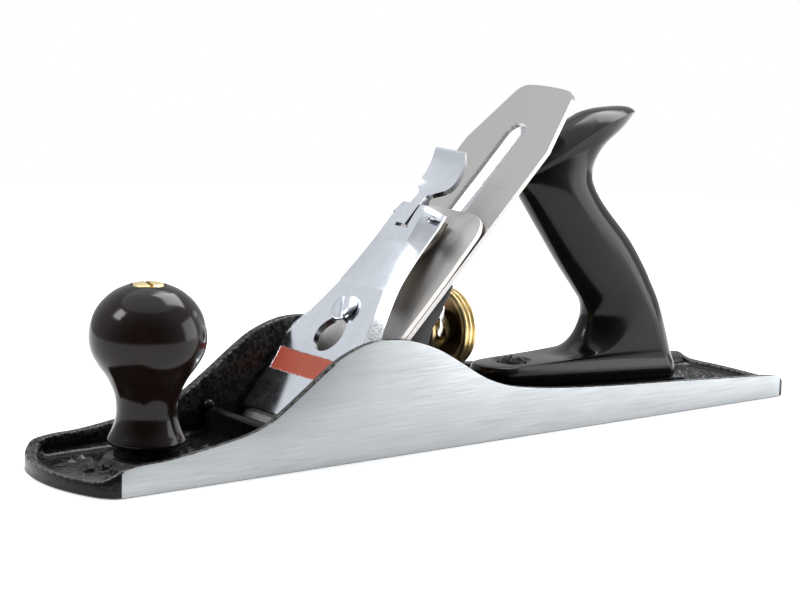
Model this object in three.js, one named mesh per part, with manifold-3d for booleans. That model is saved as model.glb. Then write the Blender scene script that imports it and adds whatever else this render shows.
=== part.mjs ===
// A jack plane: a cast sole with ground cheeks, a frog that carries the cutter at 45 degrees,
// a lever cap with a cam, the depth and lateral adjusters, a front knob and a rear tote.
// Units are millimetres. The origin is on the sole's underside at the middle of its length and width.
// +X points to the toe, +Y to the left cheek and +Z up.
import * as THREE from "three";
import { mergeVertices } from "three/addons/utils/BufferGeometryUtils.js";
import Module from "manifold-3d";

const wasm = await Module();
wasm.setup();

// ---------- Driving dimensions ----------
const GAP = 0.3; // between pieces that touch
const LENGTH = 355.6;
const WIDTH = 63;
const SOLE_THICK = 4;
const LIP = 5.9; // height of the low ends of the casting
const WALL = 3.8;
const MOUTH_X = 72.4; // where the line of the bed meets the underside
const MOUTH_OPEN = 2;
const BED_ANGLE = Math.PI / 4;

const CUTTER_WIDTH = 50.8;
const CUTTER_THICK = 2;
const CUTTER_TOP = 191.7; // distances up the bed from the mouth line
const CUTTER_SLOT = 11.1;
const CUTTER_SLOT_TOP = 171.4;
const CUTTER_BEVEL = (25 * Math.PI) / 180;
const CAP_IRON_TOP = 122;
const CAP_IRON_SCREW = 42;
const CAP_SCREW = 60.4;
const TONGUE = 76;
const ROLLER = 89;
const LATERAL_PIVOT = 97;
const LATERAL_TOP = 174;
const CAM_PIN = 108;
const CAM_PIN_HEIGHT = 17;
const KEYHOLE_TRAVEL = 12;

const FROG_WIDTH = 48;
const FROG_BASE = 9.6;
const FROG_SCREW_X = 35;
const FROG_SCREW_Y = 15;
const FROG_TOP = 92;
const FROG_ARCH = 88.4; // centre of the round end that carries the lateral pivot
const FROG_SLAB = 6;
const STUD_Z = 41.5; // axis of the depth wheel
const STUD_RADIUS = 3;
const WHEEL_RADIUS = 16;
const WHEEL_REAR = -14;
const GROOVE_X = -2; // middle of the collar's groove
const GROOVE_WIDTH = 5;
const LEVER_PIVOT = { x: 4, z: 52 };
const ADJUST_Z = 14; // axis of the frog adjusting screw

const KNOB_X = 134;
const KNOB_BASE = 7.3;
const KNOB_TOP = 72.1;
const NUT_HEAD = 6.2;
const TOTE_BASE = 9.5;
const TOTE_FOOT_TOE = 15.6; // the tote's underside rises to this at its front end
const TOTE_ROD_FOOT = { x: -108, z: 7 };
const TOTE_ROD_HEAD = { x: -54, z: 109.3 };
const TOE_SCREW_X = -46;

// ---------- Shapes and solids ----------
const SEGMENTS = 28;
const SMALL_SEGMENTS = 16;

function solid(geometry) {
  const plain = geometry.index ? geometry.toNonIndexed() : geometry.clone();
  plain.deleteAttribute("normal");
  plain.deleteAttribute("uv");
  const merged = mergeVertices(plain, 1e-4);
  return new wasm.Manifold(
    new wasm.Mesh({
      numProp: 3,
      vertProperties: merged.attributes.position.array,
      triVerts: new Uint32Array(merged.index.array),
    }),
  );
}

function geometryOf(manifold) {
  const mesh = manifold.getMesh();
  const geometry = new THREE.BufferGeometry();
  geometry.setAttribute("position", new THREE.BufferAttribute(mesh.vertProperties, 3));
  geometry.setIndex(new THREE.BufferAttribute(mesh.triVerts, 1));
  geometry.computeVertexNormals();
  return geometry;
}

const join = (...parts) => parts.reduce((a, b) => a.add(b));
const cut = (body, ...tools) => tools.reduce((a, b) => a.subtract(b), body);

function outline(points) {
  return new THREE.Shape(points.map(([a, b]) => new THREE.Vector2(a, b)));
}

// A shape drawn in (first, second) pushed along the third axis, from low to high.
function push(shape, low, high, axes) {
  const geometry = new THREE.ExtrudeGeometry(shape, {
    depth: high - low,
    bevelEnabled: false,
    curveSegments: 6,
  });
  geometry.translate(0, 0, low);
  return solid(geometry.applyMatrix4(new THREE.Matrix4().makeBasis(...axes)));
}
const X = new THREE.Vector3(1, 0, 0);
const Y = new THREE.Vector3(0, 1, 0);
const Z = new THREE.Vector3(0, 0, 1);
const pushZ = (shape, low, high) => push(shape, low, high, [X, Y, Z]);
const pushX = (shape, low, high) => push(shape, low, high, [Y, Z, X]); // drawn in (y, z)
const pushY = (shape, low, high) => push(shape, -high, -low, [X, Z, Y.clone().negate()]); // in (x, z)

function block(x, y, z) {
  const size = [x, y, z].map(([low, high]) => high - low);
  const middle = [x, y, z].map(([low, high]) => (low + high) / 2);
  return solid(new THREE.BoxGeometry(...size).translate(...middle));
}

// A profile of [radius, height] points turned about Z, or laid along X with the height as x.
function turned(profile, segments = SEGMENTS) {
  const points = profile.map(([r, h]) => new THREE.Vector2(r, h));
  return solid(new THREE.LatheGeometry(points, segments).rotateX(Math.PI / 2));
}
const alongX = (body) => body.rotate([0, 90, 0]);
const alongY = (body) => body.rotate([-90, 0, 0]);

function rod(radius, low, high, segments = SMALL_SEGMENTS) {
  return turned(
    [
      [0, low],
      [radius, low],
      [radius, high],
      [0, high],
    ],
    segments,
  );
}

// A slot with round ends, from one centre to another along x, pushed along z.
function slot(x0, x1, radius, low, high) {
  const shape = new THREE.Shape();
  shape.absarc(x0, 0, radius, Math.PI / 2, (3 * Math.PI) / 2);
  shape.absarc(x1, 0, radius, -Math.PI / 2, Math.PI / 2);
  return pushZ(shape, low, high);
}

// Rings of 3D points joined into one closed body. Each ring's flat outline is triangulated for the ends.
function loft(rings, flat) {
  const count = rings[0].length;
  const positions = rings.flat(2);
  const index = [];
  for (let i = 0; i + 1 < rings.length; i++)
    for (let j = 0; j < count; j++) {
      const a = i * count + j;
      const b = i * count + ((j + 1) % count);
      index.push(a, b, b + count, a, b + count, a + count);
    }
  const capOf = (ring) => THREE.ShapeUtils.triangulateShape(ring.map(flat), []);
  const last = (rings.length - 1) * count;
  for (const [a, b, c] of capOf(rings[0])) index.push(a, c, b);
  for (const [a, b, c] of capOf(rings.at(-1))) index.push(last + a, last + b, last + c);
  const geometry = new THREE.BufferGeometry();
  geometry.setAttribute("position", new THREE.Float32BufferAttribute(positions, 3));
  geometry.setIndex(index);
  return solid(geometry);
}

// ---------- The bed's own frame ----------
// Local x runs up the bed from the mouth line, local z stands out of the bed, y runs to the right cheek.
const bed = new THREE.Group();
bed.position.set(MOUTH_X, 0, 0);
bed.rotation.set(0, BED_ANGLE, Math.PI);
bed.updateMatrix();
const onBed = (body) => body.transform(bed.matrix.elements);

// A flat plate on the bed, drawn in (up the bed, across).
const plate = (points, low, high) => pushZ(outline(points), low, high);

// Reads a table of [position, value] pairs as a smooth line.
function along(table, at) {
  const curve = new THREE.SplineCurve(table.map(([a, b]) => new THREE.Vector2(a, b)));
  const i = Math.max(1, table.findIndex(([a]) => a >= at));
  const [a0, a1] = [table[i - 1][0], table[i][0]];
  return curve.getPoint((i - 1 + (at - a0) / (a1 - a0)) / (table.length - 1)).y;
}

// ---------- Materials ----------
const material = (color, roughness, metalness) =>
  new THREE.MeshStandardMaterial({ color, roughness, metalness });
const enamel = () => material(0x14120f, 0.35, 0.2);
const plastic = () => material(0x1d1918, 0.2, 0);
const steel = () => material(0xb9b4ae, 0.4, 1);
const chrome = () => material(0xd9dce4, 0.18, 1);
const brass = () => material(0xc9a24a, 0.3, 1);
const black = () => material(0x2a2a2c, 0.5, 0.6);

const plane = new THREE.Group();
plane.add(bed);

function piece(name, body, finish, parent = plane) {
  const mesh = new THREE.Mesh(geometryOf(body), finish);
  mesh.name = name;
  parent.add(mesh);
  return mesh;
}

// ---------- The body casting ----------
// Each end of the plan: back from the tip, where the straight side ends, where it would meet the corner,
// where the corner ends, and how far in from the side that is. The bow then runs through the tip.
const TOE_END = { straight: 13.3, corner: 7.5, bow: 4.2, inward: 9 };
const HEEL_END = { straight: 6.8, corner: 2.2, bow: 1.6, inward: 6 };

// The plan outline moved in by inset: straight sides, a rounder toe and a squarer heel.
function planOutline(inset) {
  const side = WIDTH / 2 - inset;
  const tip = LENGTH / 2 - inset;
  const shape = new THREE.Shape();
  shape.moveTo(0, -side);
  for (const [way, end] of [
    [1, TOE_END],
    [-1, HEEL_END],
  ]) {
    const straight = way * (tip - end.straight + inset / 2);
    const corner = way * (tip - end.corner);
    const bow = way * (tip - end.bow);
    shape.lineTo(straight, -way * side);
    shape.quadraticCurveTo(corner, -way * side, bow, -way * (side - end.inward));
    shape.quadraticCurveTo(way * (tip + end.bow), 0, bow, way * (side - end.inward));
    shape.quadraticCurveTo(corner, way * side, straight, way * side);
  }
  return shape;
}

// The top edge of the cheeks from heel to toe, as [x, z].
const CHEEK_TOP = [
  [-175.6, LIP + 0.1],
  [-172.5, 8.2],
  [-169, 9.7],
  [-158, 10.6],
  [-140, 11.8],
  [-108, 13.8],
  [-73, 15.9],
  [-42, 18.5],
  [-22.8, 21.2],
  [-12.6, 24],
  [-4, 27.8],
  [6.1, 33.9],
  [17.6, 40.4],
  [28.7, 44.6],
  [38, 46.5],
  [46.7, 47],
  [55, 46],
  [65.8, 42.2],
  [84, 30.4],
  [97.2, 21.9],
  [107, 17.8],
  [122, 15],
  [144, 12.2],
  [158, 11.6],
  [165.4, 10.4],
  [169.4, 8],
  [172.5, LIP + 0.3],
];

function bodyCasting() {
  const cheek = outline([
    [-LENGTH, -1],
    [LENGTH, -1],
    [LENGTH, LIP],
    ...CHEEK_TOP.toReversed(),
    [-LENGTH, LIP],
  ]);
  const shell = pushZ(planOutline(0), 0, 60).intersect(pushY(cheek, -WIDTH, WIDTH));
  const hollow = pushZ(planOutline(WALL), SOLE_THICK, 70);
  const knobBoss = turned(
    [
      [0, 3],
      [17, 3],
      [16, 5.6],
      [14, KNOB_BASE - GAP],
      [0, KNOB_BASE - GAP],
    ],
  ).translate([KNOB_X, 0, 0]);
  const totePad = pushY(
    outline([
      [-137, 3],
      [-27, 3],
      [-31, TOTE_FOOT_TOE - GAP - 0.2],
      [-134, TOTE_BASE - GAP - 0.05],
    ]),
    -11,
    11,
  );
  const frogSeat = block([5, 61], [-21, 21], [3, FROG_BASE - GAP]);
  const adjusterLug = block([6.6, 15], [-5, 5], [3, 20]);
  const rib = block([84.9, 89.3], [-WIDTH / 2 + 1, WIDTH / 2 - 1], [3, 15.3]);
  const rearRib = block([-3, 0], [-WIDTH / 2 + 1, WIDTH / 2 - 1], [3, 7.5]);
  const post = rod(2.4, 3, 18).translate([88.5, -WIDTH / 2 + WALL + 0.8, 0]);
  const front = MOUTH_X + CUTTER_THICK * Math.SQRT2 + MOUTH_OPEN;
  const mouth = pushY(
    outline([
      [MOUTH_X - 0.8, -1],
      [front, -1],
      [front, 2],
      [front + 1.2, 12],
      [MOUTH_X - 13.5, 12],
    ]),
    -26.2,
    26.2,
  );
  const screwHoles = [-1, 1].map((side) =>
    rod(2.9, 1.5, 20).translate([FROG_SCREW_X, side * FROG_SCREW_Y, 0]),
  );
  const adjusterHole = alongX(rod(2.9, 0, 20)).translate([0, 0, ADJUST_Z]);
  const studHole = rod(3.5, 1.5, 20).translate([KNOB_X, 0, 0]);
  const toeHole = rod(2.8, 1.5, 20).translate([TOE_SCREW_X, 0, 0]);
  return cut(
    join(cut(shell, hollow), knobBoss, totePad, frogSeat, adjusterLug, rib, rearRib, post),
    mouth,
    ...screwHoles,
    adjusterHole,
    studHole,
    toeHole,
    toteRod(STUD_RADIUS + 0.5, -6, 30),
  );
}

// ---------- Knob ----------
// The knob's outline from the flared foot over the ball to the top, as [radius, height].
const KNOB_OUTLINE = [
  [12.6, KNOB_BASE],
  [12.8, 10],
  [15, 12.4],
  [14.8, 14],
  [12.8, 18],
  [11.8, 24.5],
  [12.7, 31],
  [16.5, 38.5],
  [20.9, 44.5],
  [22.4, 51],
  [21.4, 58.4],
  [17.9, 65.2],
  [12.6, 69.9],
  [7, KNOB_TOP],
];

function knob() {
  const body = turned([[0, KNOB_BASE], ...KNOB_OUTLINE, [0, KNOB_TOP]]);
  const bore = rod(3.5, 0, 60);
  const barrel = rod(5, 51.5, 80);
  const recess = rod(NUT_HEAD + 0.4, 66.7, 80);
  return cut(body, bore, barrel, recess).translate([KNOB_X, 0, 0]);
}

// A brass barrel nut with a slotted head, its barrel down to low and its head's top at high.
function barrelNut(low, high) {
  const body = turned(
    [
      [0, high - 8],
      [3.5, high - 8],
      [3.5, low],
      [4.7, low],
      [4.7, high - 5.8],
      [NUT_HEAD, high - 5.8],
      [NUT_HEAD, high - 0.8],
      [NUT_HEAD - 0.9, high],
      [0, high],
    ],
    20,
  );
  return cut(body, block([-NUT_HEAD, NUT_HEAD], [-0.7, 0.7], [high - 1.8, high + 1]));
}

// ---------- Tote ----------
// Places a body that stands along Z onto the tote's leaning rod, its foot at the body casting.
function alongRod(body) {
  const lean = Math.atan2(TOTE_ROD_HEAD.x - TOTE_ROD_FOOT.x, TOTE_ROD_HEAD.z - TOTE_ROD_FOOT.z);
  return body
    .rotate([0, (lean * 180) / Math.PI, 0])
    .translate([TOTE_ROD_FOOT.x, 0, TOTE_ROD_FOOT.z]);
}
const ROD_LENGTH = Math.hypot(
  TOTE_ROD_HEAD.x - TOTE_ROD_FOOT.x,
  TOTE_ROD_HEAD.z - TOTE_ROD_FOOT.z,
);
const toteRod = (radius, low, high) => alongRod(rod(radius, low, high));

// Sections of the grip from its foot to the crease under its top: front and rear edge as [x, z], half width.
const TOTE_SECTIONS = [
  [[-28.4, TOTE_FOOT_TOE], [-133.4, TOTE_BASE], 11.6],
  [[-28.6, 22.6], [-132.8, 16], 12],
  [[-66, 23.5], [-130.6, 25], 12.2],
  [[-78, 27.2], [-128, 32.5], 12.2],
  [[-84.4, 34], [-125.3, 39.5], 12.2],
  [[-85.5, 41], [-121, 49.1], 12.2],
  [[-78, 52.5], [-112.6, 62.5], 12.2],
  [[-70.6, 62.1], [-104.9, 72.2], 12.2],
  [[-59.8, 77], [-91.6, 86.7], 12.2],
  [[-48.4, 91.6], [-83.6, 97.4], 12.2],
  [[-45, 97], [-87.4, 108], 11.4],
  [[-44.5, 100.4], [-108, 124.4], 10.9],
];
// How far the crease stands above a straight line, by the share of the way from its front to the horn's tip.
const CREASE_RISE = [
  [0, 0.3],
  [0.16, 2.4],
  [0.28, 3.7],
  [0.46, 5.1],
  [0.64, 5.5],
  [0.8, 4.3],
  [1, 0.1],
];
// The same for the middle line of the top.
const TOP_RISE = [
  [0, 0.8],
  [0.16, 6],
  [0.41, 11],
  [0.6, 11],
  [0.72, 9.1],
  [0.91, 4.6],
  [1, 1],
];
const TOTE_ROUND = 16; // points round a section
const ROUNDNESS = 0.75; // below 1 gives a fuller section than an ellipse

// One section as a ring, arched by a share of the crease's rise. For the top it is narrowed and raised.
function toteRing([front, rear, half], arched, narrowed = 0) {
  const raised = 1 - (1 - narrowed) ** 2.2;
  const ring = [];
  for (let i = 0; i < TOTE_ROUND; i++) {
    const turn = (2 * Math.PI * i) / TOTE_ROUND;
    const lengthwise = Math.sign(Math.cos(turn)) * Math.abs(Math.cos(turn)) ** ROUNDNESS;
    const across = Math.sign(Math.sin(turn)) * Math.abs(Math.sin(turn)) ** ROUNDNESS;
    const share = (1 - lengthwise) / 2;
    const crease = arched * along(CREASE_RISE, share);
    ring.push([
      front[0] + (rear[0] - front[0]) * share,
      across * half * (1 - narrowed),
      front[1] + (rear[1] - front[1]) * share + crease + raised * (along(TOP_RISE, share) - crease),
    ]);
  }
  return ring;
}

function tote() {
  const last = TOTE_SECTIONS.length - 1;
  const rings = TOTE_SECTIONS.map((section, i) => toteRing(section, Math.max(0, 1 - (last - i) / 2)));
  for (const narrowed of [0.25, 0.5, 0.75, 0.9]) rings.push(toteRing(TOTE_SECTIONS[last], 1, narrowed));
  const grip = loft(rings, ([x, y]) => new THREE.Vector2(x, y));
  const dish = rod(6, 22, 40).translate([TOE_SCREW_X, 0, 0]);
  const toeHole = rod(3, 0, 30).translate([TOE_SCREW_X, 0, 0]);
  const bore = toteRod(3.5, -20, ROD_LENGTH + 20);
  const barrel = toteRod(5, ROD_LENGTH - 24, ROD_LENGTH + 20);
  const recess = toteRod(NUT_HEAD + 0.4, ROD_LENGTH - 8, ROD_LENGTH + 20);
  return cut(grip, dish, toeHole, bore, barrel, recess);
}

function toeScrew() {
  const head = turned(
    [
      [0, 22.3],
      [5.4, 22.3],
      [4.6, 25.2],
      [0, 26],
    ],
    20,
  );
  const screw = join(head, rod(2.5, 3, 22.5));
  return cut(screw, block([-6, 6], [-0.6, 0.6], [24.6, 27])).translate([TOE_SCREW_X, 0, 0]);
}

// ---------- Frog ----------
function frog() {
  const half = FROG_WIDTH / 2;
  const low = FROG_BASE * Math.SQRT2 + GAP;
  const slabSide = outline([
    [low, -GAP - FROG_SLAB],
    [75, -GAP - FROG_SLAB],
    [FROG_TOP, -2],
    [FROG_TOP, -GAP],
    [low, -GAP],
  ]);
  const slab = onBed(pushY(slabSide, -half, half));
  const arch = onBed(slot(70, FROG_ARCH, 12, -GAP - FROG_SLAB, -GAP));
  const base = block([5, 60], [-half, half], [FROG_BASE, FROG_BASE + 4]);
  const webShape = outline([
    [61, FROG_BASE],
    [5, FROG_BASE],
    [5, 16],
    [17, 28],
    [18, 40.4],
    [15.3, 49.4],
    [7.8, 62.8],
    [12.5, 59],
    [58, 13.6],
  ]);
  const webs = [
    [-half, -half + 4],
    [half - 4, half],
  ].map(([a, b]) => pushY(webShape, a, b));
  const rearWall = block([0, 5.2], [-16, 16], [FROG_BASE, 29]);
  const rearRibs = [-1, 1].map((side) =>
    pushY(
      outline([
        [0.5, FROG_BASE + 1],
        [0.5, 28],
        [24, 41],
        [36, 30],
        [20, FROG_BASE + 1],
      ]),
      side > 0 ? 12 : -16,
      side > 0 ? 16 : -12,
    ),
  );
  const studBoss = alongX(rod(6.5, 6.2, 32, 20)).translate([0, 0, STUD_Z]);
  const lugs = [-1, 1].map((side) =>
    pushY(
      outline([
        [LEVER_PIVOT.x - 3.4, LEVER_PIVOT.z],
        [LEVER_PIVOT.x - 1.5, LEVER_PIVOT.z - 3.2],
        [LEVER_PIVOT.x + 22, LEVER_PIVOT.z - 9],
        [LEVER_PIVOT.x + 12, LEVER_PIVOT.z + 1.5],
        [LEVER_PIVOT.x + 3, LEVER_PIVOT.z + 8],
        [LEVER_PIVOT.x - 2.4, LEVER_PIVOT.z + 2.6],
      ]),
      side > 0 ? 8.4 : -11.6,
      side > 0 ? 11.6 : -8.4,
    ),
  );
  const capScrewBoss = onBed(rod(7, -12, -2, 20).translate([CAP_SCREW, 0, 0]));
  const below = block([-60, 120], [-60, 60], [-20, FROG_BASE]);
  const above = onBed(block([-20, 200], [-60, 60], [-GAP, 60]));

  const wells = [-1, 1].map((side) => {
    const well = slot(FROG_SCREW_X - 2.6, FROG_SCREW_X + 2.6, 6.2, FROG_BASE + 4, 80);
    return well.translate([0, side * FROG_SCREW_Y, 0]);
  });
  const screwSlots = [-1, 1].map((side) => {
    const opening = slot(FROG_SCREW_X - 2.4, FROG_SCREW_X + 2.4, 3, 0, 30);
    return opening.translate([0, side * FROG_SCREW_Y, 0]);
  });
  const notch = block([-1, 19], [-6, 6], [0, 20.6]);
  const stud = alongX(rod(STUD_RADIUS + GAP, 0, 16)).translate([0, 0, STUD_Z]);
  const pin = alongY(rod(1.8, -20, 20)).translate([LEVER_PIVOT.x, 0, LEVER_PIVOT.z]);
  const tongueSlot = onBed(block([70.6, 83.9], [-4, 4], [-9, 1]));
  const screwRecess = onBed(slot(CAP_IRON_SCREW - 3.5, CAP_IRON_SCREW + 3.5, 7.4, -3.6, 1));
  const capScrew = onBed(rod(3.9, -20, 1).translate([CAP_SCREW, 0, 0]));
  const leverRecess = onBed(block([84.6, FROG_TOP + 14], [-9.5, 9.5], [-2.7, 1]));
  const pivot = onBed(rod(2.3, -20, 1).translate([LATERAL_PIVOT, 0, 0]));
  const clipHole = alongX(rod(2, -2, 4)).translate([0, 0, 24.5]);
  return cut(
    join(slab, arch, base, ...webs, rearWall, ...rearRibs, studBoss, ...lugs, capScrewBoss),
    below,
    above,
    ...wells,
    ...screwSlots,
    notch,
    stud,
    pin,
    tongueSlot,
    screwRecess,
    capScrew,
    leverRecess,
    pivot,
    clipHole,
  );
}

function frogScrew(side) {
  const top = FROG_BASE + 4 + GAP + 1.5 + GAP;
  const head = turned(
    [
      [0, top],
      [5.2, top],
      [5.2, top + 2.2],
      [3.8, top + 3.6],
      [0, top + 3.6],
    ],
    18,
  );
  const screw = join(head, rod(2.5, 3, top + 0.5));
  const driver = block([-6, 6], [-0.6, 0.6], [top + 2.2, top + 5]);
  return cut(screw, driver).translate([FROG_SCREW_X, side * FROG_SCREW_Y, 0]);
}

function frogWasher(side) {
  const low = FROG_BASE + 4 + GAP;
  return cut(rod(5.6, low, low + 1.5, 18), rod(2.8, 0, 30)).translate([
    FROG_SCREW_X,
    side * FROG_SCREW_Y,
    0,
  ]);
}

function frogClip() {
  const strip = new THREE.Shape();
  strip.moveTo(-6, 9.8);
  strip.lineTo(6, 9.8);
  strip.lineTo(6, 24.5);
  strip.absarc(0, 24.5, 6, 0, Math.PI);
  strip.lineTo(-6, 9.8);
  const fork = join(
    alongX(rod(2.3, -5, 3)).translate([0, 0, ADJUST_Z]),
    block([-5, 3], [-2.3, 2.3], [0, ADJUST_Z]),
  );
  return cut(
    pushX(strip, -2.1, -GAP),
    fork,
    alongX(rod(2, -5, 3)).translate([0, 0, 24.5]),
  );
}

function frogClipScrew() {
  const profile = [
    [0, -5],
    [3, -5],
    [3.8, -4.2],
    [3.8, -2.4],
    [1.7, -2.4],
    [1.7, 3],
    [0, 3],
  ];
  return cut(alongX(turned(profile, 18)), block([-6, -4.2], [-0.5, 0.5], [-5, 5])).translate([0, 0, 24.5]);
}

function frogAdjustingScrew() {
  const profile = [
    [0, -9],
    [4.2, -9],
    [4.8, -8.3],
    [4.8, -2.6],
    [2, -2.6],
    [2, 0.4],
    [4, 0.4],
    [4, 1.6],
    [2.6, 1.6],
    [2.6, 14],
    [0, 14],
  ];
  return cut(alongX(turned(profile, 20)), block([-10, -7.6], [-0.6, 0.6], [-6, 6])).translate([
    0,
    0,
    ADJUST_Z,
  ]);
}

// ---------- Depth adjuster ----------
function wheelCollar() {
  const low = GROOVE_X - GROOVE_WIDTH / 2;
  const high = GROOVE_X + GROOVE_WIDTH / 2;
  const bore = STUD_RADIUS + GAP;
  const profile = [
    [bore, low - 1.8],
    [7.6, low - 1.8],
    [7.6, low],
    [5, low],
    [5, high],
    [7.2, high],
    [7.2, high + 1.8],
    [bore, high + 1.8],
    [bore, low - 1.8],
  ];
  return alongX(turned(profile, 24)).translate([0, 0, STUD_Z]);
}

function depthWheel() {
  const front = GROOVE_X - GROOVE_WIDTH / 2 - 1.8 - GAP;
  const rim = WHEEL_RADIUS;
  const bore = STUD_RADIUS + GAP;
  const profile = [
    [bore, WHEEL_REAR],
    [rim - 2, WHEEL_REAR],
    [rim - 0.2, WHEEL_REAR + 0.6],
    [rim - 0.2, WHEEL_REAR + 1.6],
    [rim - 1, WHEEL_REAR + 2.1],
    [rim, WHEEL_REAR + 2.6],
    [rim, WHEEL_REAR + 3.8],
    [rim - 1, WHEEL_REAR + 4.3],
    [rim - 0.2, WHEEL_REAR + 4.8],
    [rim - 0.4, WHEEL_REAR + 6.2],
    [rim - 2.2, WHEEL_REAR + 6.4],
    [rim - 3.4, WHEEL_REAR + 2.6],
    [7.4, WHEEL_REAR + 2.4],
    [6.6, front],
    [bore, front],
    [bore, WHEEL_REAR],
  ];
  return alongX(turned(profile, 36)).translate([0, 0, STUD_Z]);
}

const adjustingStud = () => alongX(rod(STUD_RADIUS, -22, 14)).translate([0, 0, STUD_Z]);

function yLever() {
  const { x, z } = LEVER_PIVOT;
  const hub = alongY(rod(3.2, -7.8, 7.8, 18)).translate([x, 0, z]);
  const onTongue = (s, n) => [MOUTH_X + (n - s) * Math.SQRT1_2, (s + n) * Math.SQRT1_2];
  const arm = pushY(
    outline([
      [x - 1.2, z + 2.8],
      onTongue(TONGUE + 4, -5),
      onTongue(TONGUE + 1.4, -2),
      onTongue(TONGUE + 1.4, 5.3),
      onTongue(TONGUE + 0.8, 6),
      onTongue(TONGUE - 0.8, 6),
      onTongue(TONGUE - 1.4, 5.3),
      onTongue(TONGUE - 1.4, -3),
      onTongue(TONGUE + 0.6, -7),
      [x + 1.2, z - 2.8],
    ]),
    -2.8,
    2.8,
  );
  const legs = [-1, 1].map((side) => {
    const ends = [side * 5.5, side * 7.8].sort((a, b) => a - b);
    const shank = pushY(
      outline([
        [x - 0.6, z + 3],
        [x - 6.4, z + 1.4],
        [x - 7.2, z - 1],
        [GROOVE_X - 1.1, STUD_Z],
        [GROOVE_X + 1.1, STUD_Z],
        [GROOVE_X + 1.1, STUD_Z + 5.6],
        [x - 3, z - 2.2],
        [x, z - 3],
      ]),
      ...ends,
    );
    const end = alongY(rod(2.1, ...ends)).translate([GROOVE_X, 0, STUD_Z]);
    return join(shank, end);
  });
  const bore = alongY(rod(1.8, -20, 20)).translate([x, 0, z]);
  return cut(join(hub, arm, ...legs), bore);
}

const yLeverPin = () =>
  alongY(rod(1.5, -11.9, 11.9)).translate([LEVER_PIVOT.x, 0, LEVER_PIVOT.z]);

// ---------- Cutter and cap iron ----------
function cutter() {
  const half = CUTTER_WIDTH / 2;
  const tip = -CUTTER_THICK + GAP;
  const blank = plate(
    [
      [tip, -half],
      [160, -half],
      [187.6, -17.4],
      [190.6, -13.6],
      [CUTTER_TOP, -8],
      [CUTTER_TOP, 8],
      [190.6, 13.6],
      [187.6, 17.4],
      [160, half],
      [tip, half],
    ],
    0,
    CUTTER_THICK,
  );
  const bevel = pushY(
    outline([
      [tip - 2, -2],
      [tip - 2, CUTTER_THICK - 2 * Math.tan(CUTTER_BEVEL)],
      [tip, CUTTER_THICK],
      [tip + (CUTTER_THICK + 2) / Math.tan(CUTTER_BEVEL), -2],
    ]),
    -half - 1,
    half + 1,
  );
  const opening = slot(CAP_IRON_SCREW - 1.5, CUTTER_SLOT_TOP - CUTTER_SLOT / 2, CUTTER_SLOT / 2, -1, 5);
  return cut(blank, bevel, opening);
}

// Underside of the cap iron as [up the bed, height]: tip on the cutter, hump, flat, slightly lifted end.
const CAP_IRON_UNDERSIDE = [
  [1.6, 2.3],
  [4, 3.6],
  [8, 5],
  [12, 5.2],
  [17, 3.9],
  [24, 2.3],
  [84, 2.3],
  [104, 2.8],
  [CAP_IRON_TOP, 3.4],
];

function capIron() {
  const top = CAP_IRON_UNDERSIDE.slice(1).map(([s, n]) => [s, n + 2]);
  const strip = pushY(outline([...CAP_IRON_UNDERSIDE, ...top.toReversed()]), -25.4, 25.4);
  const corner = new THREE.Shape();
  corner.moveTo(0, -25.4);
  corner.lineTo(CAP_IRON_TOP - 9, -25.1);
  corner.quadraticCurveTo(CAP_IRON_TOP - 1, -24, CAP_IRON_TOP, -16);
  corner.lineTo(CAP_IRON_TOP, 16);
  corner.quadraticCurveTo(CAP_IRON_TOP - 1, 24, CAP_IRON_TOP - 9, 25.1);
  corner.lineTo(0, 25.4);
  return cut(
    strip.intersect(pushZ(corner, -2, 20)),
    rod(4.3, 0, 10).translate([CAP_IRON_SCREW, 0, 0]),
    slot(CAP_SCREW - 3.2, CAP_SCREW + 3.2, 4.3, 0, 10),
    block([TONGUE - 2.3, TONGUE + 2.3], [-3.4, 3.4], [0, 10]),
  );
}

function capIronScrew() {
  const profile = [
    [0, -3],
    [6, -3],
    [6.8, -2.4],
    [6.8, -GAP],
    [4, -GAP],
    [4, 4.6],
    [0, 4.6],
  ];
  const driver = block([-8, 8], [-0.7, 0.7], [-4, -1.8]);
  return cut(turned(profile, 20), driver).translate([CAP_IRON_SCREW, 0, 0]);
}

// ---------- Lateral adjuster ----------
function lateralLever() {
  const side = outline([
    [ROLLER - 3.5, -2.4],
    [100.5, -2.4],
    [107, -4.9],
    [LATERAL_TOP, -4.9],
    [LATERAL_TOP, -8.4],
    [LATERAL_TOP + 2, -7.6],
    [LATERAL_TOP + 2, -3.3],
    [107.4, -3.3],
    [101, -0.8],
    [ROLLER - 3.5, -0.8],
  ]);
  const plan = new THREE.Shape();
  plan.moveTo(LATERAL_PIVOT, -5.4);
  plan.lineTo(108, -5.6);
  plan.lineTo(LATERAL_TOP - 5, -3.2);
  plan.quadraticCurveTo(LATERAL_TOP - 1, -4, LATERAL_TOP - 0.6, -7.5);
  plan.lineTo(LATERAL_TOP + 3, -7.5);
  plan.lineTo(LATERAL_TOP + 3, 7.5);
  plan.lineTo(LATERAL_TOP - 0.6, 7.5);
  plan.quadraticCurveTo(LATERAL_TOP - 1, 4, LATERAL_TOP - 5, 3.2);
  plan.lineTo(108, 5.6);
  plan.lineTo(LATERAL_PIVOT, 5.4);
  plan.lineTo(ROLLER + 1, 3.4);
  plan.absarc(ROLLER, 0, 3.4, Math.PI / 2, (3 * Math.PI) / 2);
  const strip = pushY(side, -10, 10).intersect(pushZ(plan, -20, 5));
  const stem = rod(1.5, -1.2, 1.8).translate([ROLLER, 0, 0]);
  return join(cut(strip, rod(2.3, -20, 5).translate([LATERAL_PIVOT, 0, 0])), stem);
}

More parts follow.
